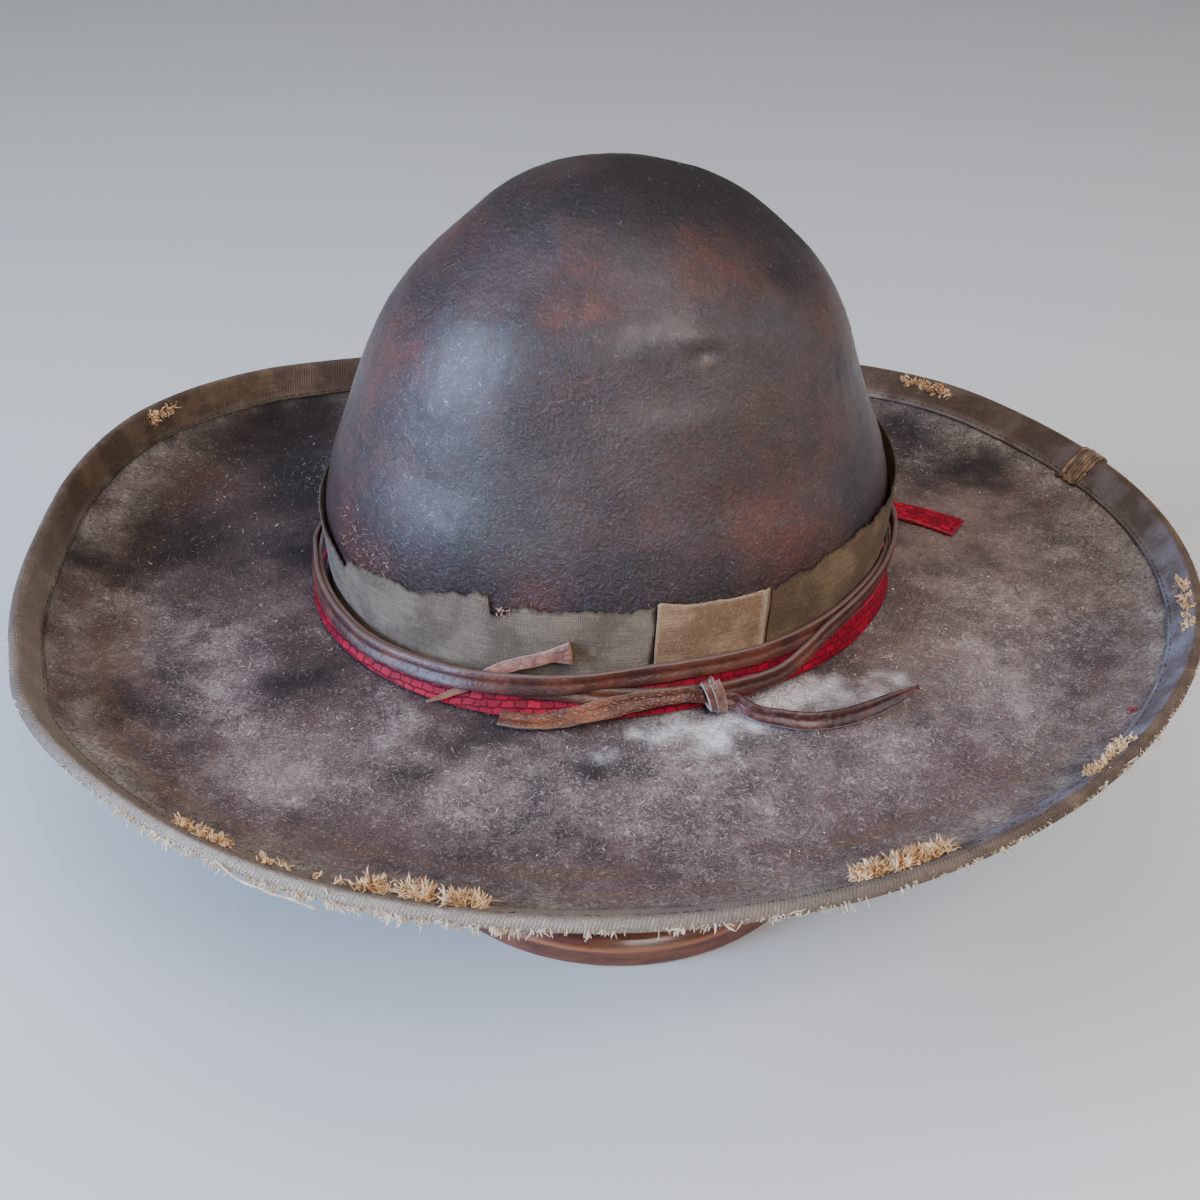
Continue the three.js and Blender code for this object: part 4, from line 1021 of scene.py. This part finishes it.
# %% Burnt edges
def burnt_edge(node, end, degrees, top, heights, wall, surface):
    """Where a length is burnt: along its top, and at its right end or, on the patch, its seam."""
    deep = 0.9 * MM + np.abs(lumps(wall, 8 * MM))[:, None] * 2.0 * MM
    near_top = np.clip(1 - (top[:, None] - heights) / deep, 0, 1) * 0.8
    ragged_end = end - 1.1 + 1.3 * lumps(surface, 6 * MM, 2.8)
    near_end = np.clip((degrees[:, None] - ragged_end) / 0.5, 0, 1)
    if node == "ribbon_tan_patch":
        near_top *= 0.3
        from_seam = np.abs(degrees[:, None] - 300.5 - 0.5 * lumps(surface, 7 * MM, 2.8))
        near_end = np.clip(1 - from_seam / 0.5, 0, 1) * 0.75
    return np.maximum(near_top, near_end)

# %% Ribbon bands
ROWS_UP = 22
THICK_MM = 0.75
STEP = 0.55  # degrees between cross-sections
SEAMS = ((300.6, 0.55, 1.3), (279.4, 0.7, 0.25))  # folds on the patch: angle, half width, height in mm


def ribbon_band(node, ends, extra=0.0):
    """One length of ribbon between two angles, torn along its top, extra millimetres off the crown."""
    name, slot, material = RIBBONS[node]
    degrees = np.arange(ends[0], ends[1], STEP)
    base = by_angle(degrees, TORN)
    wall, _ = crown(degrees, base * MM)
    ragged = lumps(wall, 1.5 * MM, 1.7) * 0.95 + lumps(wall, 5 * MM, 8.0) * 0.7
    top = (base + ragged * (0.35 if node == "ribbon_tan_patch" else 1)) * MM
    lift = np.clip(by_angle(degrees, sprung) - 0.3 * MM, 0, None)
    share = 1 - np.linspace(1, 0, ROWS_UP) ** 1.5
    heights = foot_height + (top - foot_height)[:, None] * share
    surface, out = crown(np.repeat(degrees[:, None], ROWS_UP, 1), heights)
    ripple = lumps(surface, 13 * MM, 6.6) * 0.18 * MM * np.clip((heights - foot_height) / (12 * MM), 0, 1)
    fold = sum(np.exp(-(((degrees - at) / half) ** 2)) * high for at, half, high in SEAMS)
    crease = (extra > 0) * fold[:, None] * (0.75 + 0.5 * lumps(surface, 5 * MM, 3.3)) * MM
    off = (0.22 + extra) * MM + lift[:, None] * share**4 + np.abs(ripple) + crease
    skin = [surface + out * (off + t * MM)[..., None] for t in (0.0, THICK_MM)]
    skin[1][:, -1] -= out[:, -1] * 0.3 * MM
    burnt = burnt_edge(node, ends[1], degrees, top, heights, wall, surface)
    sweep(name, np.concatenate([skin[1], skin[0][:, ::-1]], 1), material, nodes=[node],
          masks={"edge": np.concatenate([burnt, burnt[:, ::-1]], 1)})
    return np.concatenate([skin[1][:, -1]] * 2), np.concatenate([out[:, -1]] * 2)


frays = [ribbon_band("ribbon_grey", (150.2, 279.3)), ribbon_band("ribbon_tan_patch", (279.2, 301.8), 0.15),
         ribbon_band("ribbon_olive", (302.2, 509.8))]

# %% [markdown]
# ### Threads at the torn top
# A torn ribbon sheds its threads upwards. Short dark ones stand all along the tear, and pinkish bits
# of the cut edge still cling to the crown above the ribbon's left end.

# %% Ribbon fray
roots, out = (np.concatenate([fray[k] for fray in frays]) for k in (0, 1))
some = chance.random(len(roots)) < 0.6
roots, out = roots[some], out[some]
ways = np.array([0, 0, 1.0]) + out * chance.uniform(-0.2, 0.8, (len(roots), 1))
ways += chance.normal(size=(len(roots), 3)) * 0.5
strands("ribbon fray", roots - np.array([0, 0, 0.4]) * MM, ways, chance.uniform(0.6, 2.0, len(roots)) * MM,
        chance.uniform(0.1, 0.18, len(roots)) * MM, 0.5, dark_hair)

# %% Frayed bits above the ribbon's left end
FRAYED = 90
degrees = chance.uniform(205, 224, FRAYED)
bits, out = crown(degrees, (33 + chance.random(FRAYED) ** 1.6 * 17 + (degrees < 212) * 2) * MM)
ways = out * 0.5 + chance.normal(size=(FRAYED, 3)) * 0.55 + (0, 0, 0.4)
strands("crown fray", bits + out * 0.3 * MM, ways, chance.uniform(0.8, 3.2, FRAYED) * MM,
        chance.uniform(0.15, 0.35, FRAYED) * MM, 0.5, pink_hair, steps=4)

TORN_OUT = 26
bits, out = crown(chance.uniform(249.2, 252.6, TORN_OUT), chance.uniform(32.5, 36.5, TORN_OUT) * MM)
ways = out * 0.35 + chance.normal(size=(TORN_OUT, 3)) * 0.4 + (0, 0, 0.8)
strands("torn threads", bits + out * 0.6 * MM, ways, chance.uniform(1.2, 2.8, TORN_OUT) * MM,
        chance.uniform(0.35, 0.6, TORN_OUT) * MM, 0.45, pink_hair, steps=4)

# %% [markdown]
# ## Red band
# A strip of red leather stamped with small scales lies round the crown's foot, under the lace. Its
# foot leans out onto the brim, and one loose end sticks out flat on the right.

# %% Red band and its loose end
SOFT_STRIP = [(-1, -0.5), (-0.96, -0.95), (-0.5, -1), (0, -1), (0.5, -1), (0.96, -0.95), (1, -0.5), (1, 0.4),
              (0.97, 0.85), (0.86, 1), (0.45, 1.02), (0, 1), (-0.45, 1.02), (-0.86, 1), (-0.97, 0.85),
              (-1, 0.4)]
# By angle round the oval: the share of the band tucked under the lace, and how far its foot leans out, in mm.
TUCKED = [(0, 0.2), (40, 0.5), (160, 0.5), (185, 0.42), (240, 0.42), (262, 0.2), (290, 0), (330, 0.1)]
FOOT_OUT = [(0, 0), (150, 0), (185, 2.4), (250, 2.4), (270, 0.8), (290, -0.5), (305, -2.0), (335, -2.4),
            (352, -0.8)]
band_route = finer(strip_route(cross_sections("red_band", start=-0.5 / columns)), 440, closed=True)
band_angle = oval_turn(band_route[:, 0]) * 360
tucked = by_angle(band_angle, TUCKED)[:, None]
band_route[:, 0] -= band_route[:, 1] * tucked
band_route[:, 1] *= 1 - tucked
foot_out = by_angle(band_angle, FOOT_OUT)[:, None] * MM
leaning_out = unit((band_route[:, 0] - oval_middle) * (1, 1, 0)) * foot_out / 2
band_route[:, 0] += leaning_out
band_route[:, 1] -= leaning_out
strip("red band strip", band_route, SOFT_STRIP, red_material, closed=True, nodes=["red_band"],
      rough=0.2 * MM)
tail_route = finer(strip_route(cross_sections("red_band_tail", along=(0.9, -0.42, 0))), 60)
strip("red band end", tail_route, SOFT_STRIP, red_material, nodes=["red_band_tail"],
      rough=0.25 * MM)

# %% [markdown]
# ## Lace, knot and slip
# The lace goes twice round the crown, over the red band, and is tied in front in one tight upright
# turn. Pulled leather folds a little along its middle, so its section has a shallow valley. The knot is
# the lace itself wound round the crossing, so it is swept the same way along a short upright spiral.

# %% Lace turns
LACE = [(-1, -0.4), (-0.94, -0.95), (-0.45, -1), (0, -1), (0.45, -1), (0.94, -0.95), (1, -0.4), (1, 0.4),
        (0.97, 0.85), (0.84, 1.05), (0.55, 1.02), (0.25, 0.82), (0.05, 0.4), (-0.15, 0.78), (-0.5, 1.02),
        (-0.84, 1.05), (-0.97, 0.85), (-1, 0.4)]
low, high = (np.array(c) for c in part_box("lace_knot"))
knot_middle = (low + high) / 2
away = unit((knot_middle - oval_middle) * (1, 1, 0))
up = np.array([0, 0, 1.0])
sideways = np.cross(up, away)


def into_knot(route, end, drop, back):
    """The same route with one more section inside the knot, at its start (0) or its end (-1)."""
    added = route[end].copy()
    added[0] = knot_middle - away * back * MM + up * drop * MM
    added[1] *= 0.8
    return np.concatenate([[added], route] if end == 0 else [route, [added]])


upper_route = finer(strip_route(cross_sections("lace_upper_turn", start=-0.5 / columns)), 460, closed=True)
strip("upper lace turn", upper_route, LACE, lace_material, closed=True,
      nodes=["lace_upper_turn"], rough=0.22 * MM)
second_route = strip_route(cross_sections("lace_second_turn", start=292.0 / 360))
second_route = into_knot(into_knot(second_route, 0, 1.0, 1.0), -1, 1.0, 1.0)
strip("second lace turn", finer(second_route, 480), LACE, lace_material,
      nodes=["lace_second_turn"], rough=0.22 * MM)

# %% Lace ends
left_route = strip_route(cross_sections("lace_tail_left", along=(-1, 0, 0)))
right_route = strip_route(cross_sections("lace_tail_right", along=(1, 0.05, 0)))
strip("left lace end", finer(into_knot(left_route, 0, -0.5, -0.5), 100), LACE, rust_material,
      nodes=["lace_tail_left"], rough=0.35 * MM)
right_end = finer(into_knot(right_route, 0, -1.5, -0.5), 100)
cut_side = np.array([abs(x) > 0.9 for x, _ in LACE]) * np.sign([x for x, _ in LACE])
front_side = np.sign((right_end[:, 1] * (0, -1, 0)).sum(1))[:, None]
cut_edge = np.clip(cut_side[None] * front_side, 0, 1) * 0.85
strip("right lace end", right_end, LACE, end_material, nodes=["lace_tail_right"],
      rough=0.25 * MM, masks={"edge": cut_edge})

# %% [markdown]
# ### The slip and the knot
# The slip is a flat scrap tucked behind the lace. It keeps the solid's middle line, but its face is
# turned straight out of the crown, so that its width shows, and its free end flares and thickens.
# The knot's single wrap is a spiral that leans a little, as a pulled turn does.

# %% Tucked slip
SLIP_STEPS = 80
# In millimetres, by the share of the slip's length from its point.
HALF_WIDTH = [(0, 0.5), (0.3, 2.0), (0.7, 2.2), (0.84, 2.2), (0.94, 3.2), (1, 3.8)]
HALF_THICK = [(0, 0.5), (0.85, 0.7), (0.95, 1.3), (1, 1.5)]
slip = finer(strip_route(cross_sections("leather_slip", start=0.6)), SLIP_STEPS)
slip_way = unit(np.gradient(slip[:, 0], axis=0))
slip_out = unit((slip[:, 0] - oval_middle) * (1, 1, 0)) + (0, 0, 0.45)
slip_out = unit(slip_out - (slip_out * slip_way).sum(1)[:, None] * slip_way)
slip_side = np.cross(slip_way, slip_out)
slip_half, slip_thick = (np.interp(np.linspace(0, 1, SLIP_STEPS), *np.array(pairs).T)[:, None] * MM
                         for pairs in (HALF_WIDTH, HALF_THICK))
slip = np.stack([slip[:, 0] + slip_out * 0.3 * MM, slip_side * slip_half, slip_out * slip_thick], 1)
print("slip", slip[0, 0].round(4), slip[-1, 0].round(4), "long", lengths_along(slip[:, 0])[-1].round(4))
strip("tucked slip", slip, SOFT_STRIP, slip_material, nodes=["leather_slip"], rough=0.2 * MM)

# %% Knot
KNOT_STEPS = 110
angle = np.linspace(-2.4, 2 * math.pi + 1.2, KNOT_STEPS)[:, None]
share = np.linspace(0, 1, KNOT_STEPS)[:, None]
tall, deep = (high[2] - low[2]) / 2 - 0.2 * MM, 3.4 * MM
spread_out = away * (np.cos(angle) * deep) + up * (np.sin(angle) * tall)
leaning = sideways * -0.3 * np.sin(angle) * tall
middle_line = knot_middle + spread_out * (0.8 + 0.2 * share) + leaning + sideways * (share - 0.5) * 3.0 * MM
across = unit(sideways + up * (0.5 * np.sin(angle))) * (2.5 - 0.7 * share) * MM
out_way = unit(np.cross(np.gradient(middle_line, axis=0), across)) * 0.75 * MM
out_way *= np.sign((out_way * spread_out).sum(1))[:, None]
strip("knot", np.stack([middle_line, across, out_way], 1), LACE, knot_material,
      nodes=["lace_knot"], rough=0.25 * MM)

# %% [markdown]
# ## Threads on the rim
# The binding is sewn with dark thread, and each stitch is one short thick strand. At the right rear a
# few turns of tan thread are whipped round the rim, a mend that holds the tape down. Each turn is its
# own closed loop, a little askew, because one perfect helix would look machined.

# %% Binding stitches
SPACING, STITCH = 3.6 * MM, 2.4 * MM
# Millimetres from the rim to the row of stitches, by angle round the rim.
INSET = [(0, 11.5), (90, 12.5), (180, 12.8), (215, 11.2), (238, 4), (270, 2.0), (302, 3.5), (340, 10.5)]
rim_length = lengths_along(np.concatenate([rim_points, rim_points[:1]]))
stitch_at = np.interp(np.arange(0, rim_length[-1], SPACING), rim_length, np.arange(RIM + 1) / RIM)
unwound = np.unwrap(np.radians(rim_polar))
stitch_polar = np.interp(stitch_at, rim_turns, unwound) * 180 / np.pi % 360
inset = by_angle(stitch_polar, INSET)
sewn_from = rim_point(stitch_at, inset, half_mm + 0.95)
sewn_to = rim_point(stitch_at + 2.3 * MM / rim_length[-1], inset, half_mm + 1.02)
strands("binding stitches", sewn_from, sewn_to - sewn_from, np.full(len(stitch_at), STITCH),
        np.full(len(stitch_at), 0.5 * MM), 0.06, black_thread, steps=4)

# %% Round threads
def round_thread(line, forward, across, radius, sides):
    """Rings of a round thread along a line, from the line's direction and any way across it."""
    flat_way = unit(np.cross(forward, across))
    third = np.cross(forward, flat_way)
    turn = np.linspace(0, 2 * np.pi, sides + 1)[:-1][None, :, None]
    return line[:, None] + radius * (flat_way[:, None] * np.cos(turn) + third[:, None] * np.sin(turn))

# %% Whipped thread
# One turn of the thread round the rim: millimetres in from the rim and off the felt's middle.
ONE_TURN = [(12.9, 2.3), (9, 2.75), (4, 2.8), (0.3, 2.6), (-1.5, 1.5), (-1.75, 0), (-1.5, -1.5), (0.3, -2.6),
            (5, -2.75), (11, -2.7), (13.2, -2.2), (13.7, 0), (13.4, 1.9)]
TURN_PLACES = (-6.2, -5.0, -3.8, -2.6, -1.4, -0.3, 0.9, 4.4, 5.5)  # millimetres along the rim
LEANS, RADII = (1, -0.5, 1.3), (0.8, 0.68, 0.9)  # taken in rotation, so that no two neighbours match
thread_low, thread_high = (np.array(c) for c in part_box("thread_wrap"))
thread_middle = (thread_low + thread_high) / 2
thread_turn = rim_turns[np.argmin(np.linalg.norm(rim_points[:, :2] - thread_middle[:2], axis=1))]
inwards = rim_frame(np.array([thread_turn]))[1]
wrap_material = thread("whipping thread", (0.09, 0.05, 0.03), (0.27, 0.165, 0.1), 0.6)
for k, shift in enumerate(TURN_PLACES):
    path = np.array(ONE_TURN) + chance.normal(size=(len(ONE_TURN), 2)) * 0.12
    lean = np.linspace(-0.8, 0.8, len(path)) * LEANS[k % 3] + chance.normal() * 0.25
    at = thread_turn + (shift + lean) * MM / rim_length[-1]
    line = np.concatenate([rim_point(a, [inward * 0.985 + 0.3 * (k % 3)], [off + 0.25 * (k % 2)])
                           for a, (inward, off) in zip(at, path)])
    line = curve(np.concatenate([line[-3:], line, line[:4]]), np.arange(-3, len(line) + 4),
                 np.linspace(0, len(line), 70)[:-1])
    forward = unit(np.roll(line, -1, 0) - np.roll(line, 1, 0))
    tube = round_thread(line, forward, inwards, RADII[k % 3] * MM, 8)
    sweep(f"whipped thread {k + 1}", tube, wrap_material, closed=True,
          nodes=["thread_wrap"] if k == 0 else ())

# %% [markdown]
# ### Tufts and frays
# Straw-coloured felt has burst out at ten places along the rim. A tuft is a row of locks, and each lock
# is eight strands from almost one root that lean almost one way. Along the front the tape's own threads
# have frayed: short ones nearly everywhere, and longer clumps that hang down.

# %% Straw tufts
# Each tuft: angle round the rim, how far it spreads, its locks, millimetres in from the rim, lock height.
TUFTS = [(150, 2.0, 16, 4, 4), (47, 3.6, 30, 3.5, 3.6), (350, 5, 24, 3, 3), (322, 3.4, 34, 5, 4.4),
         (296.5, 4.8, 120, 8.0, 6.5), (252.3, 1.3, 26, 8.5, 7.5), (248.4, 0.9, 14, 8.5, 7),
         (256.6, 1.6, 26, 7.5, 7), (232, 2.8, 34, 9, 4.5), (242, 5, 10, 9, 3.4)]
IN_A_LOCK = 8


def rim_at(polar_degrees):
    """Turns along the rim at angles round the hat."""
    order = np.argsort(rim_polar)
    return np.interp(polar_degrees, rim_polar[order], rim_turns[order], period=360)


roots, ways, longs = [], [], []
for polar_degrees, spread_degrees, count, inward, tall_mm in TUFTS:
    at = rim_at(polar_degrees + chance.uniform(-1, 1, count) * spread_degrees)
    base = rim_point(at, inward + chance.normal(size=count) * 1.4, np.full(count, half_mm + 0.7))
    _, way_in, way_up = rim_frame(at)
    lock_way = way_up + way_in * chance.normal(size=(count, 1)) * 0.45 + chance.normal(size=(count, 3)) * 0.3
    each = count * IN_A_LOCK
    roots.append(np.repeat(base, IN_A_LOCK, 0) + chance.normal(size=(each, 3)) * 0.5 * MM)
    ways.append(np.repeat(lock_way, IN_A_LOCK, 0) + chance.normal(size=(each, 3)) * 0.3)
    lock_height = np.repeat(chance.uniform(0.55, 1.1, count), IN_A_LOCK) * tall_mm
    longs.append(lock_height * chance.uniform(0.7, 1.1, each))
roots, ways, longs = np.concatenate(roots), np.concatenate(ways), np.concatenate(longs) * MM
strands("straw tufts", roots, ways, longs, chance.uniform(0.6, 1.2, len(roots)) * MM, 0.42,
        straw_hair, steps=5)

# %% Frayed rim
ENDS = 3000
# How likely an end of thread is to stand out, by angle round the rim.
LIKELY = [(0, 0.5), (30, 0.3), (60, 0.1), (180, 0.1), (205, 0.25), (225, 0.9), (250, 1), (300, 0.9),
          (340, 0.9)]
at = chance.random(ENDS)
middle = rim_frame(at)[0]
likely = by_angle(np.degrees(np.arctan2(middle[:, 1], middle[:, 0])) % 360, LIKELY)
clumps = np.clip(0.55 + 1.1 * lumps(middle, 12 * MM, 2.9), 0.1, 1)
at = at[chance.random(ENDS) < likely * clumps]
base = rim_point(at, np.full(len(at), -0.6), chance.uniform(-1.6, -0.4, len(at)))
way_in = rim_frame(at)[1]
ways = -way_in * chance.uniform(0.3, 1.0, (len(at), 1)) - np.array([0, 0, 0.7])
ways += chance.normal(size=(len(at), 3)) * 0.4
longer = 1 + 1.2 * (chance.random(len(at)) > 0.86)
strands("frayed rim", base, ways, chance.uniform(1.0, 2.6, len(at)) * longer * MM,
        chance.uniform(0.3, 0.6, len(at)) * MM, 0.3, white_hair, steps=4)

# %% Long frays
CLUMPS, IN_FRONT_RIGHT, IN_A_CLUMP = 190, 40, 5
LONG = CLUMPS * IN_A_CLUMP
at = rim_at(np.concatenate([chance.uniform(224, 262, CLUMPS - IN_FRONT_RIGHT),
                            chance.uniform(262, 345, IN_FRONT_RIGHT)]))
base = np.repeat(rim_point(at, np.full(CLUMPS, -0.4), chance.uniform(-2.0, -1.0, CLUMPS)), IN_A_CLUMP, 0)
base = base + chance.normal(size=(LONG, 3)) * 0.35 * MM
way_in = rim_frame(np.repeat(at, IN_A_CLUMP))[1]
ways = -way_in * 0.5 - np.array([0, 0, 0.9]) + np.repeat(chance.normal(size=(CLUMPS, 3)) * 0.3, IN_A_CLUMP, 0)
ways += chance.normal(size=(LONG, 3)) * 0.2
longs = np.repeat(chance.uniform(1.2, 4.2, CLUMPS), IN_A_CLUMP) * chance.uniform(0.6, 1.0, LONG) * MM
strands("long frays", base, ways, longs, chance.uniform(0.4, 0.75, LONG) * MM, 0.25,
        white_hair, steps=4)

# %% [markdown]
# ### One loose thread
# A single thread of the tape has come away at the front left and hangs in a shallow wave under the rim.
# It is a round thread like the whipping, with an uneven radius.

# %% Loose thread along the front
# Along the thread: millimetres in from the rim and off the felt's middle.
HANGING = [(-0.4, -0.5), (-1.4, -1.6), (-2.6, -2.6), (-2.2, -3.4), (-2.8, -3.2), (-2.4, -3.8), (-2.9, -3.4),
           (-2.5, -3.9), (-2.9, -4.3)]
loose = rim_at(np.linspace(235.5, 245.5, len(HANGING)))
line = np.concatenate([rim_point(a, [inward], [off]) for a, (inward, off) in zip(loose, HANGING)])
line = curve(line, np.arange(len(HANGING)), np.linspace(0, len(HANGING) - 1, 80))
radius = 0.4 * MM * (1 + 0.35 * lumps(line, 2.5 * MM))[:, None, None]
tube = round_thread(line, unit(np.gradient(line, axis=0)), up, radius, 6)
sweep("loose thread", tube, white_hair)

# %% [markdown]
# ## The stand
# The stand is turned on a lathe from reddish hardwood, so each part is one profile spun round the
# axis. The profile is read from the solid's own corners, its sharp edges are eased as sandpaper would
# ease them, and it is spun with many more steps. A pale orange ring round the base's ridge is a
# painted highlight.

# %% Wood material
wood_material, tree, shader, where = new_material("polished red-brown wood")
along_grain = add(tree, "Mapping", {"Vector": where["Object"], "Scale": (1.0, 9.0, 9.0)}).outputs[0]
grain = add(tree, "TexNoise", {"Vector": along_grain, "Scale": 22.0, "Detail": 8.0, "Roughness": 0.6,
                               "Distortion": 0.6}).outputs["Fac"]
pores = add(tree, "TexNoise", {"Vector": along_grain, "Scale": 150.0, "Detail": 3.0,
                               "Roughness": 0.6}).outputs["Fac"]
colour = layered(
    tree, mix(tree, spread(tree, grain, 0.3, 0.7), (0.07, 0.018, 0.009), (0.24, 0.075, 0.035)),
    (spread(tree, pores, 0.55, 0.7, 0.0, 0.5), (0.035, 0.01, 0.006)),
    # A pale orange ring painted along the base's ridge is a highlight.
    (times(tree, mask(tree, "edge"), 0.8), (0.5, 0.19, 0.08)),
)
tree.links.new(colour, shader.inputs["Base Color"])
tree.links.new(spread(tree, grain, 0.3, 0.7, 0.34, 0.24), shader.inputs["Roughness"])
shader.inputs["Coat Weight"].default_value = 0.35
shader.inputs["Coat Roughness"].default_value = 0.15
bump(tree, shader, pores, 0.00015)
print("wood:", len(tree.nodes), "nodes")

# %% Turned profiles
NEARLY = 1e-6  # metres within which two corners count as level


def profile_of(node):
    """A turned solid's outline from the foot to the head, as radius and height."""
    points, _ = corners(node)
    flat = points[(np.abs(points[:, 1]) < 1e-5) & (points[:, 0] > -1e-5)][:, [0, 2]]
    radius, height = flat.T
    low, high = height.min(), height.max()
    outwards = np.where(height < low + NEARLY, radius, np.where(height > high - NEARLY, -radius, 0))
    return flat[np.argsort(height + outwards * 1e-3)]


def eased(profile, by=0.7 * MM):
    """The outline with each corner cut back a little on both sides."""
    points = [profile[0]]
    for before, here, after in zip(profile, profile[1:], profile[2:]):
        for other, cuts in ((before, (1.8, 1.0)), (after, (1.0, 1.8))):
            reach = np.linalg.norm(other - here)
            points += [here + (other - here) * min(cut * by / reach, 0.2 * cut) for cut in cuts]
    return np.array(points + [profile[-1]])


def spin_sides(profile, count):
    """More points up the sides, on a smooth curve through the outline's own."""
    body = profile[1:-1]
    height = np.linspace(body[0, 1], body[-1, 1], count)
    radius = np.clip(curve(body[:, :1], body[:, 1], height)[:, 0], body[:, 0].min(), body[:, 0].max())
    return np.concatenate([profile[:1], np.column_stack([radius, height]), profile[-1:]])

# %% Base, post and head
def spin(name, profile, node, steps=144, ridge=-1.0):
    """A profile spun round the axis, with a pale ring painted at its ridge's height as a highlight."""
    turn = np.arange(steps) / steps * 2 * np.pi
    sections = np.stack([profile[:, :1] * np.cos(turn), profile[:, :1] * np.sin(turn),
                         np.repeat(profile[:, 1:], steps, 1)], -1)
    radius, height = profile[1:-1].T
    # The pale ring at the ridge's height is a painted highlight.
    wear_and_highlight = np.clip(1 - np.abs(height - ridge) / (1.3 * MM), 0, 1) * (radius > 0.9 * profile[:, 0].max())
    return sweep(name, sections[1:-1], wood_material, nodes=[node],
                 masks={"edge": np.repeat(wear_and_highlight[:, None], steps, 1)})


base = profile_of("stand_base")
print("base outline", (base / MM).round(1).tolist())
ridge = base[base[:, 0] > base[:, 0].max() - 0.1 * MM][-1, 1]
spin("base", eased(eased(base, 0.9 * MM), 0.3 * MM), "stand_base", ridge=ridge)
spin("post", eased(spin_sides(profile_of("stand_post"), 60)), "stand_post", 96)
spin("head", eased(spin_sides(profile_of("stand_dome"), 40)), "stand_dome", 96)

# %% [markdown]
# ## Floor, light and camera
# A plain pale floor and large soft lamps show the surfaces without shadows that hide them. The floor
# is far larger than the hat, so that its edge never shows.

# %% Floor
FAR = 20  # metres from the middle of the floor to its sides
floor_material, _, shader, _ = new_material("pale floor")
shader.inputs["Base Color"].default_value = (0.72, 0.71, 0.69, 1)
shader.inputs["Roughness"].default_value = 0.7
floor_mesh = bpy.data.meshes.new("floor")
floor_mesh.from_pydata([(-FAR, -FAR, 0), (FAR, -FAR, 0), (FAR, FAR, 0), (-FAR, FAR, 0)], [], [(0, 1, 2, 3)])
floor_mesh.materials.append(floor_material)
floor = bpy.data.objects.new("floor", floor_mesh)
bpy.context.scene.collection.objects.link(floor)
print("floor:", 2 * FAR, "metres square")

# %% [markdown]
# ### Lamps
# Each lamp is a square softbox. A large one throws soft edges, so the one overhead is the largest. The
# bluish one at the window side is the strongest, and it draws the long highlight down the crown's left.

# %% Lamps and room light
def softbox(name, place, aim, size, power, colour):
    """A square lamp, its side in metres and its power in watts."""
    lamp = bpy.data.lights.new(name, "AREA")
    lamp.shape, lamp.size, lamp.energy, lamp.color = "SQUARE", size, power, colour
    holder = bpy.data.objects.new(name, lamp)
    holder.location = place
    holder.rotation_euler = (Vector(aim) - Vector(place)).to_track_quat("-Z", "Y").to_euler()
    bpy.context.scene.collection.objects.link(holder)
    print(name, "lamp:", power, "W,", size, "m")


softbox("window side", (-1.3, -0.5, 0.6), (0, 0, 0.2), 0.7, 44, (0.45, 0.64, 1.0))
softbox("front", (0.32, -1.0, 1.1), (0, 0, 0.18), 0.5, 15, (1.0, 0.94, 0.86))
softbox("right side", (1.3, -0.2, 0.8), (0, 0, 0.18), 0.7, 7, (0.93, 0.95, 1.0))
softbox("overhead", (-0.2, -0.1, 1.8), (0, 0, 0.15), 1.4, 10, (1.0, 0.96, 0.9))
world = bpy.data.worlds.new("studio")
world.use_nodes = True
room = world.node_tree.nodes["Background"].inputs
room["Color"].default_value = (0.9, 0.92, 0.95, 1)
room["Strength"].default_value = 0.22
bpy.context.scene.world = world

# %% [markdown]
# ### Camera
# The camera's place and tilt were found by matching the outlines of the crown, ribbon and brim to the
# photograph. It looks straight along the hat's shorter axis, and depth of field stays off.

# %% Camera
LENS_MM, SENSOR_MM = 54, 36
LOOKING_DOWN = 32.64  # degrees
lens = bpy.data.cameras.new("camera")
lens.lens, lens.sensor_width, lens.sensor_fit = LENS_MM, SENSOR_MM, "HORIZONTAL"
camera = bpy.data.objects.new("camera", lens)
camera.location = (-0.0064, -0.5742, 0.4784)
camera.rotation_euler = (math.radians(90 - LOOKING_DOWN), 0, 0)
bpy.context.scene.collection.objects.link(camera)
bpy.context.scene.camera = camera
print("camera at", tuple(round(value, 4) for value in camera.location))
